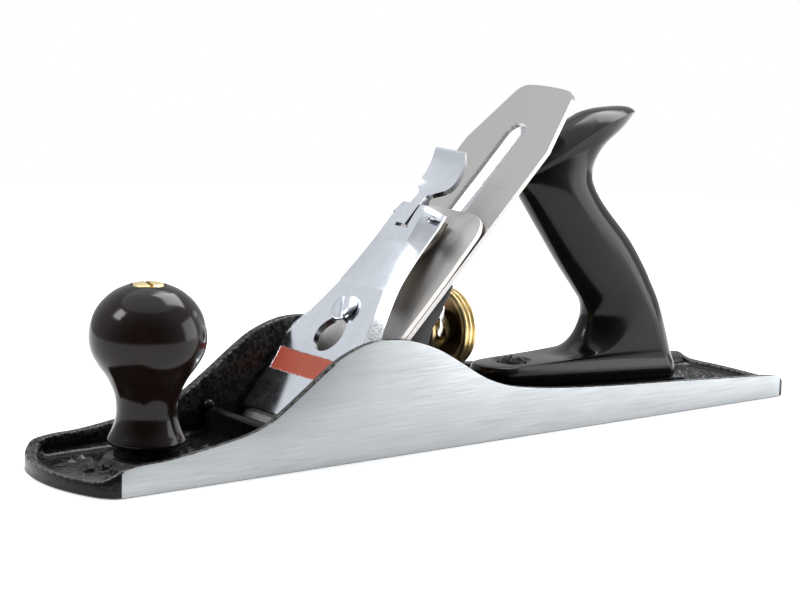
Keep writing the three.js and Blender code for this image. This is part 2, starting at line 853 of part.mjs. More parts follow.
const lateralPivot = () => join(rod(2, -7.5, -0.5), rod(3.4, -0.5, 0.6)).translate([LATERAL_PIVOT, 0, 0]);
const lateralRoller = () => cut(rod(3.5, -0.4, 1.8, 20), rod(1.7, -5, 5)).translate([ROLLER, 0, 0]);

// ---------- Lever cap ----------
// Sections up the lever cap: up the bed, half width and height of the flat top,
// half width and height of the rim.
const LEVER_CAP_SECTIONS = [
  [10.5, 25.2, 10.2, 25.4, 7.8],
  [20, 25.2, 10.8, 25.4, 8],
  [30, 25.1, 11.8, 25.4, 8.2],
  [41, 24.9, 14, 25.4, 9],
  [48, 24.2, 14.9, 25.4, 10],
  [54, 21.6, 15.2, 24.6, 10.6],
  [60, 18.6, 15.6, 22.6, 11.6],
  [69, 15.2, 16.4, 19.8, 12.6],
  [79, 11.8, 17.5, 17.4, 13.4],
  [93, 9.6, 18.6, 16, 13.7],
  [106, 8.2, 19.8, 15.8, 14],
  [112.3, 7.7, 20.1, 15.2, 14.5],
];

function leverCap() {
  const wall = 2.8;
  const rings = LEVER_CAP_SECTIONS.map(([s, flat, top, half, rim]) => {
    const low = Math.max(top - wall, rim + 0.2);
    const inner = Math.min(flat - 0.6, half - wall - 0.4);
    const right = [
      [inner, low],
      [half - wall, rim],
      [half, rim],
      [half, rim + 0.9],
      [flat, top],
    ];
    const left = right.map(([y, n]) => [-y, n]).toReversed();
    return [...right, ...left].map(([y, n]) => [s, y, n]);
  });
  const shell = loft(rings, ([, y, n]) => new THREE.Vector2(y, n));
  const bearing = block([10.5, 26], [-25, 25], [7.8, 10]);
  const ears = [-1, 1].map((side) => {
    const shape = outline([
      [side * 3.6, 18.6],
      [side * 3.6, 13],
      [side * 12.4, 13],
      [side * 12.4, 15.6],
      [side * 8, 18.6],
    ]);
    return pushX(shape, 103, 112);
  });
  const boss = rod(4, 11.4, 16, 18).translate([80, 0, 0]);
  const large = rod(8, 0, 40, 24).translate([CAP_SCREW - KEYHOLE_TRAVEL, 0, 0]);
  const narrow = slot(CAP_SCREW - KEYHOLE_TRAVEL, CAP_SCREW, 4.7, 0, 40);
  const camSlot = block([101.5, 120], [-3.5, 3.5], [0, 40]);
  const pinHole = alongY(rod(2, -30, 30)).translate([CAM_PIN, 0, CAM_PIN_HEIGHT]);
  const rivetHole = rod(1.8, 0, 15).translate([80, 0, 0]);
  return cut(join(shell, bearing, boss, ...ears), large, narrow, camSlot, pinHole, rivetHole);
}

const camPin = () => alongY(rod(1.7, -11.8, 11.8)).translate([CAM_PIN, 0, CAM_PIN_HEIGHT]);

function leverCapSpring() {
  const underside = [
    [76, 10.3],
    [84, 10.3],
    [93, 8.2],
    [102, 6.2],
    [109, 5.9],
    [114, 6.6],
  ];
  const top = underside.map(([s, n]) => [s, n + 0.8]);
  return cut(
    pushY(outline([...underside, ...top.toReversed()]), -8, 8),
    rod(1.8, 0, 20).translate([80, 0, 0]),
  );
}

const springRivet = () => join(rod(3, 9.2, 10), rod(1.5, 9.5, 14.6)).translate([80, 0, 0]);

function camLever() {
  const half = 3;
  const hub = alongY(rod(4.4, -half, half, 20)).translate([CAM_PIN, 0, CAM_PIN_HEIGHT]);
  const lobe = pushY(
    outline([
      [CAM_PIN - 3.4, CAM_PIN_HEIGHT - 2],
      [CAM_PIN - 1.2, 7.4],
      [CAM_PIN + 1.2, 7.1],
      [CAM_PIN + 4, CAM_PIN_HEIGHT - 1],
    ]),
    -half,
    half,
  );
  const neck = pushY(
    outline([
      [CAM_PIN - 1, CAM_PIN_HEIGHT + 4.2],
      [CAM_PIN + 2, CAM_PIN_HEIGHT - 3.6],
      [CAM_PIN + 13, CAM_PIN_HEIGHT - 1],
      [CAM_PIN + 13, CAM_PIN_HEIGHT + 3],
    ]),
    -half,
    half,
  );
  const padSide = outline([
    [117.5, 16.4],
    [126, 15.2],
    [133, 16.2],
    [138, 18.6],
    [139.6, 21],
    [138.2, 21.8],
    [136.8, 20],
    [132, 18.2],
    [126, 17.4],
    [117.5, 19],
  ]);
  const padPlan = new THREE.Shape();
  padPlan.moveTo(116, -3);
  padPlan.quadraticCurveTo(119, -4, 121, -7);
  padPlan.quadraticCurveTo(123, -10, 128, -10.4);
  padPlan.lineTo(140, -9.6);
  padPlan.lineTo(140, 9.6);
  padPlan.lineTo(128, 10.4);
  padPlan.quadraticCurveTo(123, 10, 121, 7);
  padPlan.quadraticCurveTo(119, 4, 116, 3);
  const pad = pushY(padSide, -14, 14).intersect(pushZ(padPlan, 0, 40));
  const bore = alongY(rod(2, -20, 20)).translate([CAM_PIN, 0, CAM_PIN_HEIGHT]);
  return cut(join(hub, lobe, neck, pad), bore);
}

function leverCapScrew() {
  const profile = [
    [0, -10],
    [3.6, -10],
    [3.6, 16.2],
    [6.2, 16.2],
    [6.2, 17.6],
    [4.8, 18.6],
    [0, 18.6],
  ];
  const driver = block([-8, 8], [-0.7, 0.7], [17.4, 20]).rotate([0, 0, 35]);
  return cut(turned(profile, 24), driver).translate([CAP_SCREW, 0, 0]);
}

// ---------- The assembly ----------
piece("body_casting", bodyCasting(), enamel());
piece("front_knob", knob(), plastic());
piece("knob_stud", rod(3.2, 3, 62.5).translate([KNOB_X, 0, 0]), steel());
piece("knob_nut", barrelNut(52, 72.8).translate([KNOB_X, 0, 0]), brass());
piece("tote", tote(), plastic());
piece("tote_rod", toteRod(3.1, -1, ROD_LENGTH - 10), steel());
piece("tote_nut", alongRod(barrelNut(ROD_LENGTH - 21, ROD_LENGTH - 1.5)), brass());
piece("tote_toe_screw", toeScrew(), black());
for (const [word, side] of [["left", 1], ["right", -1]]) {
  piece("frog_screw_" + word, frogScrew(side), steel());
  piece("frog_washer_" + word, frogWasher(side), steel());
}

piece("frog", frog(), black());
piece("frog_clip", frogClip(), steel());
piece("frog_clip_screw", frogClipScrew(), steel());
piece("frog_adjusting_screw", frogAdjustingScrew(), steel());
piece("adjusting_stud", adjustingStud(), steel());
piece("wheel_collar", wheelCollar(), brass());
piece("depth_wheel", depthWheel(), brass());
piece("y_lever", yLever(), steel());
piece("y_lever_pin", yLeverPin(), steel());

piece("lateral_lever", lateralLever(), steel(), bed);
piece("lateral_pivot", lateralPivot(), steel(), bed);
piece("lateral_roller", lateralRoller(), steel(), bed);
piece("cutter", cutter(), steel(), bed);
piece("cap_iron", capIron(), steel(), bed);
piece("cap_iron_screw", capIronScrew(), steel(), bed);
piece("lever_cap_screw", leverCapScrew(), chrome(), bed);
piece("lever_cap", leverCap(), chrome(), bed);
piece("lever_cap_spring", leverCapSpring(), steel(), bed);
piece("spring_rivet", springRivet(), steel(), bed);
piece("cam_pin", camPin(), steel(), bed);
piece("cam_lever", camLever(), chrome(), bed);

export default plane;
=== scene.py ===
import math

import bmesh
import bpy
from mathutils import Matrix, Vector, noise


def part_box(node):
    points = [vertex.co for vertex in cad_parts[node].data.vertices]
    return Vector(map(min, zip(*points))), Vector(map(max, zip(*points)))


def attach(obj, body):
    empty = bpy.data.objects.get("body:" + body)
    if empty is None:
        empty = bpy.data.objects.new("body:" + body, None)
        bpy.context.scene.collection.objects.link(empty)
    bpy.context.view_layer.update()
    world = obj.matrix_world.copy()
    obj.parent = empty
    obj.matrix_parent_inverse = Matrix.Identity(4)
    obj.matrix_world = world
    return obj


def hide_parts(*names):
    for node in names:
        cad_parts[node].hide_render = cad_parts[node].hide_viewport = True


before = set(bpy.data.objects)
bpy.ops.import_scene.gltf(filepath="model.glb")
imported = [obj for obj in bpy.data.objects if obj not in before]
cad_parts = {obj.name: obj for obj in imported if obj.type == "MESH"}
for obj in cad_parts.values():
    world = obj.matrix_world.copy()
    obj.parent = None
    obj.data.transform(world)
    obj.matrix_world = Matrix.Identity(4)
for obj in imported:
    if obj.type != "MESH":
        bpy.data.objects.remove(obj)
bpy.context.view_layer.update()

# The looks of a jack plane. Shapes are drawn in millimetres and made in metres.
# +X points to the toe, +Y to the left cheek and +Z up, as in the frame.
MM = 0.001
WORLD = Matrix.Identity(4)

# The bed that carries the cutter.
# Local x runs up the bed from the mouth, z stands out of it, and y points to the right cheek.
MOUTH_X = 72.4
BED_ANGLE = math.radians(45)
BED_TURN = Matrix.Rotation(math.pi, 4, "Z") @ Matrix.Rotation(BED_ANGLE, 4, "Y").inverted()
BED = Matrix.Translation((MOUTH_X * MM, 0, 0)) @ BED_TURN


def box_mm(node):
    """A CAD node's lowest and highest corners in millimetres."""
    low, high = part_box(node)
    return low / MM, high / MM


def at(x, y=0.0, z=0.0):
    return Matrix.Translation((x * MM, y * MM, z * MM))


ALONG_X = Matrix.Rotation(math.pi / 2, 4, "Y")
ALONG_Y = Matrix.Rotation(-math.pi / 2, 4, "X")


# ---------- Curves ----------
def smooth(points, steps):
    """A Catmull-Rom curve through points of any dimension, with so many steps in each stretch."""
    rows = [Vector(p) for p in points]
    rows = [rows[0] * 2 - rows[1], *rows, rows[-1] * 2 - rows[-2]]
    made = []
    for a, b, c, d in zip(rows, rows[1:], rows[2:], rows[3:]):
        for i in range(steps):
            t = i / steps
            made.append(0.5 * (2 * b + (c - a) * t + (2 * a - 5 * b + 4 * c - d) * t * t
                               + (3 * b - a - 3 * c + d) * t ** 3))
    return [tuple(p) for p in [*made, rows[-2]]]


def arc(x, y, radius, start, end, steps):
    """Points on a circle, from one angle to another in degrees."""
    turns = [math.radians(start + (end - start) * i / steps) for i in range(steps + 1)]
    return [(x + radius * math.cos(t), y + radius * math.sin(t)) for t in turns]


def bend(a, b, c, steps):
    """A quadratic curve from a towards b to c."""
    made = []
    for i in range(steps + 1):
        t = i / steps
        made.append(tuple((1 - t) ** 2 * p + 2 * t * (1 - t) * q + t * t * r for p, q, r in zip(a, b, c)))
    return made


def read(table, at_x):
    """The value at at_x in rows of (x, value), in rising order."""
    for (x0, v0), (x1, v1) in zip(table, table[1:]):
        if at_x <= x1:
            return v0 + (v1 - v0) * max(0.0, at_x - x0) / max(x1 - x0, 1e-9)
    return table[-1][1]


# ---------- Solids, each as points and faces ----------
def turned(profile, segments=96, closed=False):
    """A profile of (radius, height) turned about local z. It meets the axis, or closes on itself."""
    points = []
    rings = []
    for radius, height in profile:
        count = 1 if radius < 1e-6 else segments
        rings.append(range(len(points), len(points) + count))
        turns = [2 * math.pi * i / segments for i in range(count)]
        points += [(radius * math.cos(t), radius * math.sin(t), height) for t in turns]
    if closed:
        rings.append(rings[0])
    faces = []
    for low, high in zip(rings, rings[1:]):
        for i in range(segments):
            j = i + 1
            corners = [low[i % len(low)], low[j % len(low)], high[j % len(high)], high[i % len(high)]]
            face = list(dict.fromkeys(corners))
            if len(face) > 2:
                faces.append(face)
    return points, faces


def loft(rings, capped=True):
    """Rings of points joined in order, with flat ends."""
    count = len(rings[0])
    points = [p for ring in rings for p in ring]
    faces = []
    for k in range(len(rings) - 1):
        for i in range(count):
            j = (i + 1) % count
            faces.append([k * count + i, k * count + j, (k + 1) * count + j, (k + 1) * count + i])
    if capped:
        faces.append(list(range(count)))
        faces.append(list(range(len(points) - count, len(points))))
    return points, faces


def prism(outline, low, high, order="xyz"):
    """An outline in the first two axes of order, pushed along the third."""
    def place(p, c):
        named = dict(zip(order, (*p, c)))
        return named["x"], named["y"], named["z"]
    return loft([[place(p, low) for p in outline], [place(p, high) for p in outline]])


def block(x, y, z):
    return prism([(x[0], y[0]), (x[1], y[0]), (x[1], y[1]), (x[0], y[1])], *z)


def rod(radius, low, high, segments=64):
    return turned([(0, low), (radius, low), (radius, high), (0, high)], segments)


def slot(x0, x1, radius, low, high):
    """A slot with round ends, from one centre to another along x."""
    return prism(arc(x0, 0, radius, 90, 270, 24) + arc(x1, 0, radius, -90, 90, 24), low, high)


def moved(shape, x=0.0, y=0.0, z=0.0, turn=None):
    """The shape turned by a matrix, then shifted."""
    points, faces = shape
    turn = turn or WORLD
    shift = Vector((x, y, z))
    return [tuple(turn @ Vector(p) + shift) for p in points], faces


def to_mesh(shape):
    if isinstance(shape, bpy.types.Mesh):
        return shape
    mesh = bpy.data.meshes.new("shape")
    mesh.from_pydata(*[list(part) for part in (shape[0], [], shape[1])])
    work = bmesh.new()
    work.from_mesh(mesh)
    bmesh.ops.remove_doubles(work, verts=work.verts, dist=1e-4)
    bmesh.ops.recalc_face_normals(work, faces=work.faces)
    work.to_mesh(mesh)
    work.free()
    return mesh


def linked(name, mesh):
    made = bpy.data.objects.new(name, mesh)
    bpy.context.scene.collection.objects.link(made)
    return made


def boolean(base, tool, operation):
    """One solid joined to another, or cut by it."""
    first = linked("first", to_mesh(base))
    second = linked("second", to_mesh(tool))
    step = first.modifiers.new(operation, "BOOLEAN")
    step.operation = operation
    step.object = second
    step.solver = "EXACT"
    seen = first.evaluated_get(bpy.context.evaluated_depsgraph_get())
    mesh = bpy.data.meshes.new_from_object(seen)
    bpy.data.objects.remove(first)
    bpy.data.objects.remove(second)
    return mesh


def joined(first, *others):
    for other in others:
        first = boolean(first, other, "UNION")
    return first


def cut(body, *tools):
    for tool in tools:
        body = boolean(body, tool, "DIFFERENCE")
    return body


def piece(name, shape, finish, body, nodes, place=WORLD, bevel=0.0, angle=32):
    """A finished piece that stands for CAD nodes and rides on their body."""
    mesh = to_mesh(shape)
    mesh.transform(Matrix.Scale(MM, 4))
    made = linked(name, mesh)
    mesh.name = name
    mesh.shade_smooth()
    if bevel:
        rounding = made.modifiers.new("rounded_edges", "BEVEL")
        rounding.width = bevel * MM
        rounding.segments = 2
        rounding.limit_method = "ANGLE"
        rounding.angle_limit = math.radians(angle)
        rounding.harden_normals = True
        rounding.use_clamp_overlap = True
    else:
        mesh.set_sharp_from_angle(angle=math.radians(angle))
    finishes = finish if isinstance(finish, (list, tuple)) else [finish]
    chosen = [min(face.material_index, len(finishes) - 1) for face in mesh.polygons]
    mesh.materials.clear()
    for one in finishes:
        mesh.materials.append(one)
    mesh.polygons.foreach_set("material_index", chosen)
    made.matrix_world = place
    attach(made, body)
    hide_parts(*nodes)
    return made


def refined(name, node, finish, body, bevel, angle=32):
    """A CAD node's own shape with its flat faces made whole and its edges rounded."""
    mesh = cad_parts[node].data.copy()
    work = bmesh.new()
    work.from_mesh(mesh)
    bmesh.ops.remove_doubles(work, verts=work.verts, dist=1e-6)
    bmesh.ops.dissolve_limit(work, angle_limit=math.radians(1), verts=work.verts, edges=work.edges)
    bmesh.ops.recalc_face_normals(work, faces=work.faces)
    work.to_mesh(mesh)
    work.free()
    mesh.transform(Matrix.Scale(1 / MM, 4))
    return piece(name, mesh, finish, body, [node], bevel=bevel, angle=angle)


# ---------- Materials ----------
class Surface:
    """A node material: one shader, the piece's own coordinates, and what is mixed into them."""

    def __init__(self, name, colour, roughness, metallic=0.0, specular=0.5):
        self.material = bpy.data.materials.new(name)
        self.material.use_nodes = True
        self.nodes = self.material.node_tree.nodes
        self.links = self.material.node_tree.links
        self.shader = self.nodes["Principled BSDF"]
        self.colour = (*colour, 1)
        self.set("Base Color", self.colour)
        self.set("Roughness", roughness)
        self.set("Metallic", metallic)
        self.set("Specular IOR Level", specular)
        self.coordinates = self.nodes.new("ShaderNodeTexCoord").outputs["Object"]
        self.height = None

    def set(self, name, value):
        self.shader.inputs[name].default_value = value

    def link(self, output, name):
        self.links.new(output, self.shader.inputs[name])

    def axis(self, name):
        """One of the piece's own coordinates, in metres."""
        split = self.nodes.new("ShaderNodeSeparateXYZ")
        self.links.new(self.coordinates, split.inputs[0])
        return split.outputs[name]

    def stretched(self, scale):
        mapping = self.nodes.new("ShaderNodeMapping")
        mapping.inputs["Scale"].default_value = scale
        self.links.new(self.coordinates, mapping.inputs["Vector"])
        return mapping.outputs[0]

    def noise(self, per_metre, detail=3.0, scale=(1, 1, 1), roughness=0.5):
        """Cloudy noise from 0 to 1, with so many features to a metre."""
        texture = self.nodes.new("ShaderNodeTexNoise")
        texture.inputs["Scale"].default_value = per_metre
        texture.inputs["Detail"].default_value = detail
        texture.inputs["Roughness"].default_value = roughness
        self.links.new(self.stretched(scale), texture.inputs["Vector"])
        return texture.outputs["Fac"]

    def spread(self, value, low, high, to_low=0.0, to_high=1.0):
        """The value's stretch from low to high, mapped to another."""
        node = self.nodes.new("ShaderNodeMapRange")
        for name, number in zip(("From Min", "From Max", "To Min", "To Max"), (low, high, to_low, to_high)):
            node.inputs[name].default_value = number
        self.links.new(value, node.inputs["Value"])
        return node.outputs["Result"]

    def maths(self, operation, first, second=0.0):
        node = self.nodes.new("ShaderNodeMath")
        node.operation = operation
        for value, socket in zip((first, second), node.inputs):
            if isinstance(value, (int, float)):
                socket.default_value = value
            else:
                self.links.new(value, socket)
        return node.outputs[0]

    def attribute(self, name):
        node = self.nodes.new("ShaderNodeAttribute")
        node.attribute_name = name
        return node.outputs["Fac"]

    def mix(self, share, first, second):
        """A colour between two, by share."""
        node = self.nodes.new("ShaderNodeMix")
        node.data_type = "RGBA"
        self.links.new(share, node.inputs["Factor"])
        for value, socket in ((first, node.inputs[6]), (second, node.inputs[7])):
            if isinstance(value, tuple):
                socket.default_value = (*value[:3], 1)
            else:
                self.links.new(value, socket)
        return node.outputs[2]

    def tint(self, share, second):
        """The colour moves towards another where share is high."""
        self.colour = self.mix(share, self.colour, second)
        self.link(self.colour, "Base Color")

    def bump(self, height, depth, strength=1.0):
        """Raises the surface by height, a value from 0 to 1, times a depth in metres."""
        node = self.nodes.new("ShaderNodeBump")
        node.inputs["Distance"].default_value = depth
        node.inputs["Strength"].default_value = strength
        self.links.new(height, node.inputs["Height"])
        if self.height is not None:
            self.links.new(self.height, node.inputs["Normal"])
        self.height = node.outputs["Normal"]
        self.link(self.height, "Normal")


def enamel(name="black_enamel", tone=(0.006, 0.0055, 0.0053), rough=0.2, floor_top=0.009):
    """Thick glossy black enamel, lumpy on the rough floor below floor_top, thin and grey along the rims."""
    surface = Surface(name, tone, rough, specular=0.22)
    cloud = surface.noise(90, 4)
    surface.tint(surface.spread(cloud, 0.45, 0.75, 0, 0.5), tuple(1.8 * c for c in tone))
    specks = surface.spread(surface.noise(700, 5), 0.42, 0.62)
    wear = surface.maths("MULTIPLY", surface.attribute("rim"), specks)
    surface.tint(wear, (0.2, 0.19, 0.18))
    surface.link(surface.spread(surface.noise(260, 4), 0.3, 0.7, rough - 0.04, rough + 0.1), "Roughness")
    low = surface.spread(surface.axis("Z"), floor_top - 0.002, floor_top, 1, 0)
    surface.bump(surface.maths("MULTIPLY", surface.noise(420, 5), low), 0.0004, 0.5)
    surface.bump(surface.noise(900, 2), 0.00003, 0.4)
    return surface.material


def ground_steel():
    """Cheeks and sole: pale steel with fine lengthwise grinding lines."""
    surface = Surface("ground_steel", (0.41, 0.428, 0.44), 0.42, metallic=0.9)
    lines = surface.noise(1, 5, (60, 1800, 1800), 0.6)
    broad = surface.noise(1, 3, (14, 160, 160))
    surface.tint(surface.spread(lines, 0.35, 0.7, 0, 0.75), (0.33, 0.35, 0.362))
    surface.tint(surface.spread(broad, 0.4, 0.75, 0, 0.5), (0.47, 0.487, 0.5))
    surface.link(surface.spread(lines, 0.3, 0.7, 0.36, 0.52), "Roughness")
    surface.bump(lines, 0.00006, 0.6)
    return surface.material


def moulded(name, tone, rough):
    """Hard glossy moulded plastic, a little wavy, with faint rubbed clouds."""
    surface = Surface(name, tone, rough, specular=0.24)
    surface.tint(surface.spread(surface.noise(45, 4), 0.42, 0.72, 0, 0.6), tuple(2.1 * c for c in tone))
    surface.link(surface.spread(surface.noise(160, 5), 0.3, 0.72, rough - 0.02, rough + 0.05), "Roughness")
    surface.bump(surface.noise(38, 2), 0.0012, 0.12)
    surface.bump(surface.noise(2200, 3), 0.00003, 0.5)
    return surface.material


def bright_metal(name, tone, rough, grain=(400, 400, 400), shade=0.82):
    """A smooth metal with a faint grain, streaked when the grain's scale differs by axis."""
    surface = Surface(name, tone, rough, metallic=1.0)
    lines = surface.noise(1, 4, grain, 0.6)
    surface.tint(surface.spread(lines, 0.35, 0.7), tuple(shade * c for c in tone))
    surface.link(surface.spread(lines, 0.3, 0.7, rough * 0.8, rough * 1.3), "Roughness")
    surface.bump(lines, 0.00004, 0.5)
    return surface


PAINT = (0.5, 0.085, 0.04)
PAINT_LOW = 28.5
PAINT_HIGH = 38.0


def cap_chrome():
    """The lever cap: bright plate, a painted band across it, and a bare cast patch on each shoulder."""
    surface = bright_metal("lever_cap_chrome", (0.84, 0.87, 0.93), 0.13, (160, 160, 160), 0.93)
    along = surface.axis("X")
    across = surface.maths("ABSOLUTE", surface.axis("Y"))
    ragged = surface.spread(surface.noise(700, 4), 0.3, 0.7, -0.0003, 0.0003)
    edge = surface.maths("ADD", along, ragged)
    rise = surface.spread(edge, (PAINT_LOW - 0.2) * MM, (PAINT_LOW + 0.2) * MM)
    fall = surface.spread(edge, (PAINT_HIGH - 0.2) * MM, (PAINT_HIGH + 0.2) * MM, 1, 0)
    outer = surface.spread(surface.axis("Z"), 0.0093, 0.0098)
    inside = surface.spread(surface.maths("ADD", across, ragged), 0.0233, 0.0237, 1, 0)
    stripe = surface.maths("MULTIPLY", rise, fall)
    band = surface.maths("MULTIPLY", stripe, surface.maths("MULTIPLY", outer, inside))
    inner = surface.spread(along, 0.041, 0.060, 0.0246, 0.0182)
    shoulder = surface.maths("MULTIPLY", surface.spread(surface.maths("SUBTRACT", across, inner), 0, 0.0007),
                             surface.spread(along, 0.0425, 0.0450))
    shoulder = surface.maths("MULTIPLY", shoulder, surface.spread(along, 0.0580, 0.0605, 1, 0))
    cast = surface.maths("MULTIPLY", shoulder, surface.spread(surface.noise(1300, 4), 0.3, 0.6, 0.45, 1))
    surface.tint(cast, (0.36, 0.37, 0.38))
    surface.tint(band, surface.mix(surface.noise(240, 4), PAINT, tuple(0.8 * c for c in PAINT)))
    surface.link(surface.maths("SUBTRACT", 1.0, surface.maths("MAXIMUM", band, 0.0)), "Metallic")
    base = surface.spread(surface.noise(140, 4), 0.3, 0.7, 0.09, 0.18)
    dull = surface.maths("MULTIPLY", surface.maths("MAXIMUM", band, cast), 0.42)
    surface.link(surface.maths("MAXIMUM", base, dull), "Roughness")
    surface.bump(surface.maths("MULTIPLY", surface.noise(2600, 3), cast), 0.0003, 0.7)
    surface.bump(surface.maths("SUBTRACT", 1.0, band), 0.0002, 0.6)
    return surface.material


def turned_brass(name, tone, rough):
    """Brass with faint turning rings about its own axis."""
    surface = Surface(name, tone, rough, metallic=1.0)
    cloud = surface.noise(220, 4)
    surface.tint(surface.spread(cloud, 0.4, 0.7, 0, 0.7), tuple(0.62 * c for c in tone))
    surface.link(surface.spread(cloud, 0.3, 0.7, rough - 0.05, rough + 0.12), "Roughness")
    surface.bump(surface.noise(1, 2, (60, 60, 900)), 0.000004, 0.3)
    return surface.material


BLACK_ENAMEL = enamel()
FROG_ENAMEL = enamel("frog_enamel", (0.022, 0.023, 0.025), 0.34)
STEEL = ground_steel()
KNOB_PLASTIC = moulded("knob_plastic", (0.0075, 0.0042, 0.0036), 0.1)
TOTE_PLASTIC = moulded("tote_plastic", (0.0042, 0.0036, 0.0034), 0.14)
CAP_CHROME = cap_chrome()
CHROME = bright_metal("chrome", (0.84, 0.87, 0.93), 0.12, (180, 180, 180), 0.93).material
CUTTER_STEEL = bright_metal("cutter_steel", (0.55, 0.53, 0.52), 0.34, (2400, 50, 2400), 0.82).material
CAP_IRON_STEEL = bright_metal("cap_iron_steel", (0.66, 0.635, 0.61), 0.36, (90, 1900, 900), 0.86).material
POLISHED = bright_metal("polished_steel", (0.78, 0.78, 0.8), 0.16, (60, 900, 900), 0.9).material
SCREW_STEEL = bright_metal("screw_steel", (0.62, 0.61, 0.6), 0.26, (700, 700, 700), 0.8).material
SPRING_STEEL = bright_metal("spring_steel", (0.36, 0.31, 0.24), 0.3, (60, 1500, 900), 0.75).material
BLACK_OXIDE = bright_metal("black_oxide", (0.045, 0.045, 0.048), 0.3, (900, 900, 900), 0.6).material
BRASS = turned_brass("brass", (0.97, 0.77, 0.4), 0.3)
# The wheel's hollow: unpolished brass, with painted shade making it darker still.
SHADED_DULL_BRASS = turned_brass("dull_brass_and_painted_shade", (0.22, 0.135, 0.06), 0.38)


# ---------- The body casting ----------
BODY_CORNER = box_mm("body_casting")[1]
HALF_LENGTH = BODY_CORNER.x
HALF_WIDTH = BODY_CORNER.y
SOLE = 4.0
WALL = 3.8
LIP = 5.9
# Each end: where the straight side stops, the corner, the bow of the end and how far its corner comes in.
TOE_END = (13.3, 7.5, 4.2, 9)
HEEL_END = (6.8, 2.2, 1.6, 6)
FILLET = 3.2
FLOOR_STEPS = 20

CHEEK_TOP = smooth([
    (-178, LIP), (-175.6, LIP + 0.2), (-172.5, 8.2), (-169, 9.7), (-158, 10.6), (-140, 11.7), (-108, 13.8),
    (-73, 15.9), (-42, 18.5), (-22.8, 21.2), (-12.6, 24), (-4, 27.8), (6.1, 33.9), (17.6, 40.4), (28.7, 44.6),
    (38, 46.5), (46.7, 47), (55, 46), (65.8, 42.2), (75.5, 36.3), (84, 30.4), (97.2, 21.9), (107, 17.8),
    (122, 15), (144, 12.2), (158, 11.6), (165.4, 10.4), (169.4, 8), (172.5, LIP + 0.3), (178, LIP),
], 12)


def plan(inset):
    """The casting's plan outline moved in by inset: straight sides, a round toe and a squarer heel."""
    side = HALF_WIDTH - inset
    tip = HALF_LENGTH - inset
    halves = []
    for straight, corner, bow, inward in (TOE_END, HEEL_END):
        start = tip - straight + inset / 2
        half = [(start * i / 100, side) for i in range(100)]
        half += bend((start, side), (tip - corner, side), (tip - bow, side - inward), 14)[:-1]
        half += bend((tip - bow, side - inward), (tip + bow, 0), (tip - bow, inward - side), 24)[:13]
        halves.append(half)
    toe, heel = halves
    left = toe[::-1] + [(-x, y) for x, y in heel[1:]]
    return left + [(x, -y) for x, y in left[::-1][1:-1]]


# Where the floor has raised grains: their share along the toe, along the heel and across.
TOE_GRAINS = [(96, 0), (101, 1), (114, 1), (118, 0), (148, 0), (151, 1), (166, 1), (171, 0)]
HEEL_GRAINS = [(-172, 0), (-168, 1), (-146, 1), (-141, 0)]
GRAINS_ACROSS = [(0, 1), (19, 1), (23, 0)]


def floor_relief(x, y):
    """The height of the rough floor: low waves, with patches of raised grains."""
    waves = 0.16 * noise.noise(Vector((x, y, 0)) * 0.11)
    patch = max(read(TOE_GRAINS, x), read(HEEL_GRAINS, x)) * read(GRAINS_ACROSS, abs(y))
    grains = max(0.0, noise.noise(Vector((x * 0.42, y * 0.5, 7))) + 0.12)
    return waves + 1.9 * patch * grains


def casting_shell():
    """Rings that follow the plan outline, from the sole up the walls, over the rim and down inside."""
    outer = plan(0)
    inner = plan(WALL + FILLET)
    tops = [read(CHEEK_TOP, x) for x, y in outer]
    rings = []
    rim = []

    def ring(inset, height, worn=0.0):
        rings.append([(x, y, height(i)) for i, (x, y) in enumerate(plan(inset))])
        rim.append(worn)

    ring(0.5, lambda i: 0)
    ring(0, lambda i: 0.5)
    ring(0, lambda i: 1.4)
    ring(0, lambda i: tops[i] - 0.7)
    ring(0.2, lambda i: tops[i] - 0.2, 0.9)
    ring(0.7, lambda i: tops[i], 0.5)
    ring(WALL - 1.3, lambda i: tops[i], 0.15)
    ring(WALL - 0.5, lambda i: tops[i] - 0.3, 1.0)
    ring(WALL - 0.2, lambda i: tops[i] - 0.9, 0.25)
    ring(WALL, lambda i: min(tops[i] - 1.2, SOLE + FILLET + 0.4))
    for k in range(6):
        turn = math.radians(90 * k / 5)
        rise = FILLET * (1 - math.sin(turn))
        inset = WALL + FILLET * (1 - math.cos(turn))
        ring(inset, lambda i: SOLE + min(rise, (tops[i] - SOLE - 1.3) * rise / FILLET))
    reach = HALF_LENGTH - HALF_WIDTH
    for k in range(1, FLOOR_STEPS + 1):
        share = k / FLOOR_STEPS
        row = []
        for x, y in inner:
            px = x + (max(-reach, min(reach, x)) - x) * share
            py = y * (1 - share)
            row.append((px, py, SOLE + floor_relief(px, py) * min(1, 3 * share)))
        rings.append(row)
        rim.append(0)
    points, faces = loft(rings, capped=False)
    faces.append(list(range(len(outer)))[::-1])
    mesh = bpy.data.meshes.new("casting")
    mesh.from_pydata(points, [], faces)
    worn = mesh.attributes.new("rim", "FLOAT", "POINT")
    worn.data.foreach_set("value", [w for w in rim for _ in outer])
    work = bmesh.new()
    work.from_mesh(mesh)
    bmesh.ops.remove_doubles(work, verts=work.verts, dist=1e-3)
    bmesh.ops.recalc_face_normals(work, faces=work.faces)
    work.to_mesh(mesh)
    work.free()
    return mesh


def cross_rib(middle, half, top, foot=3.0):
    """A rib across the floor with a round crest and flared feet."""
    edge = middle - half
    side = [(edge - foot, 2), (edge - foot, SOLE), (edge - 0.8, SOLE + 1), (edge, SOLE + foot)]
    crest = arc(middle, top - half, half, 180, 0, 10)
    outline = side + crest + [(2 * middle - x, z) for x, z in side[::-1]]
    return prism(outline, -HALF_WIDTH + 1.5, HALF_WIDTH - 1.5, "xzy")


PAD_REAR = -134
PAD_FRONT = -31
PAD_RADIUS = 11
PAD_MIDDLE = -80


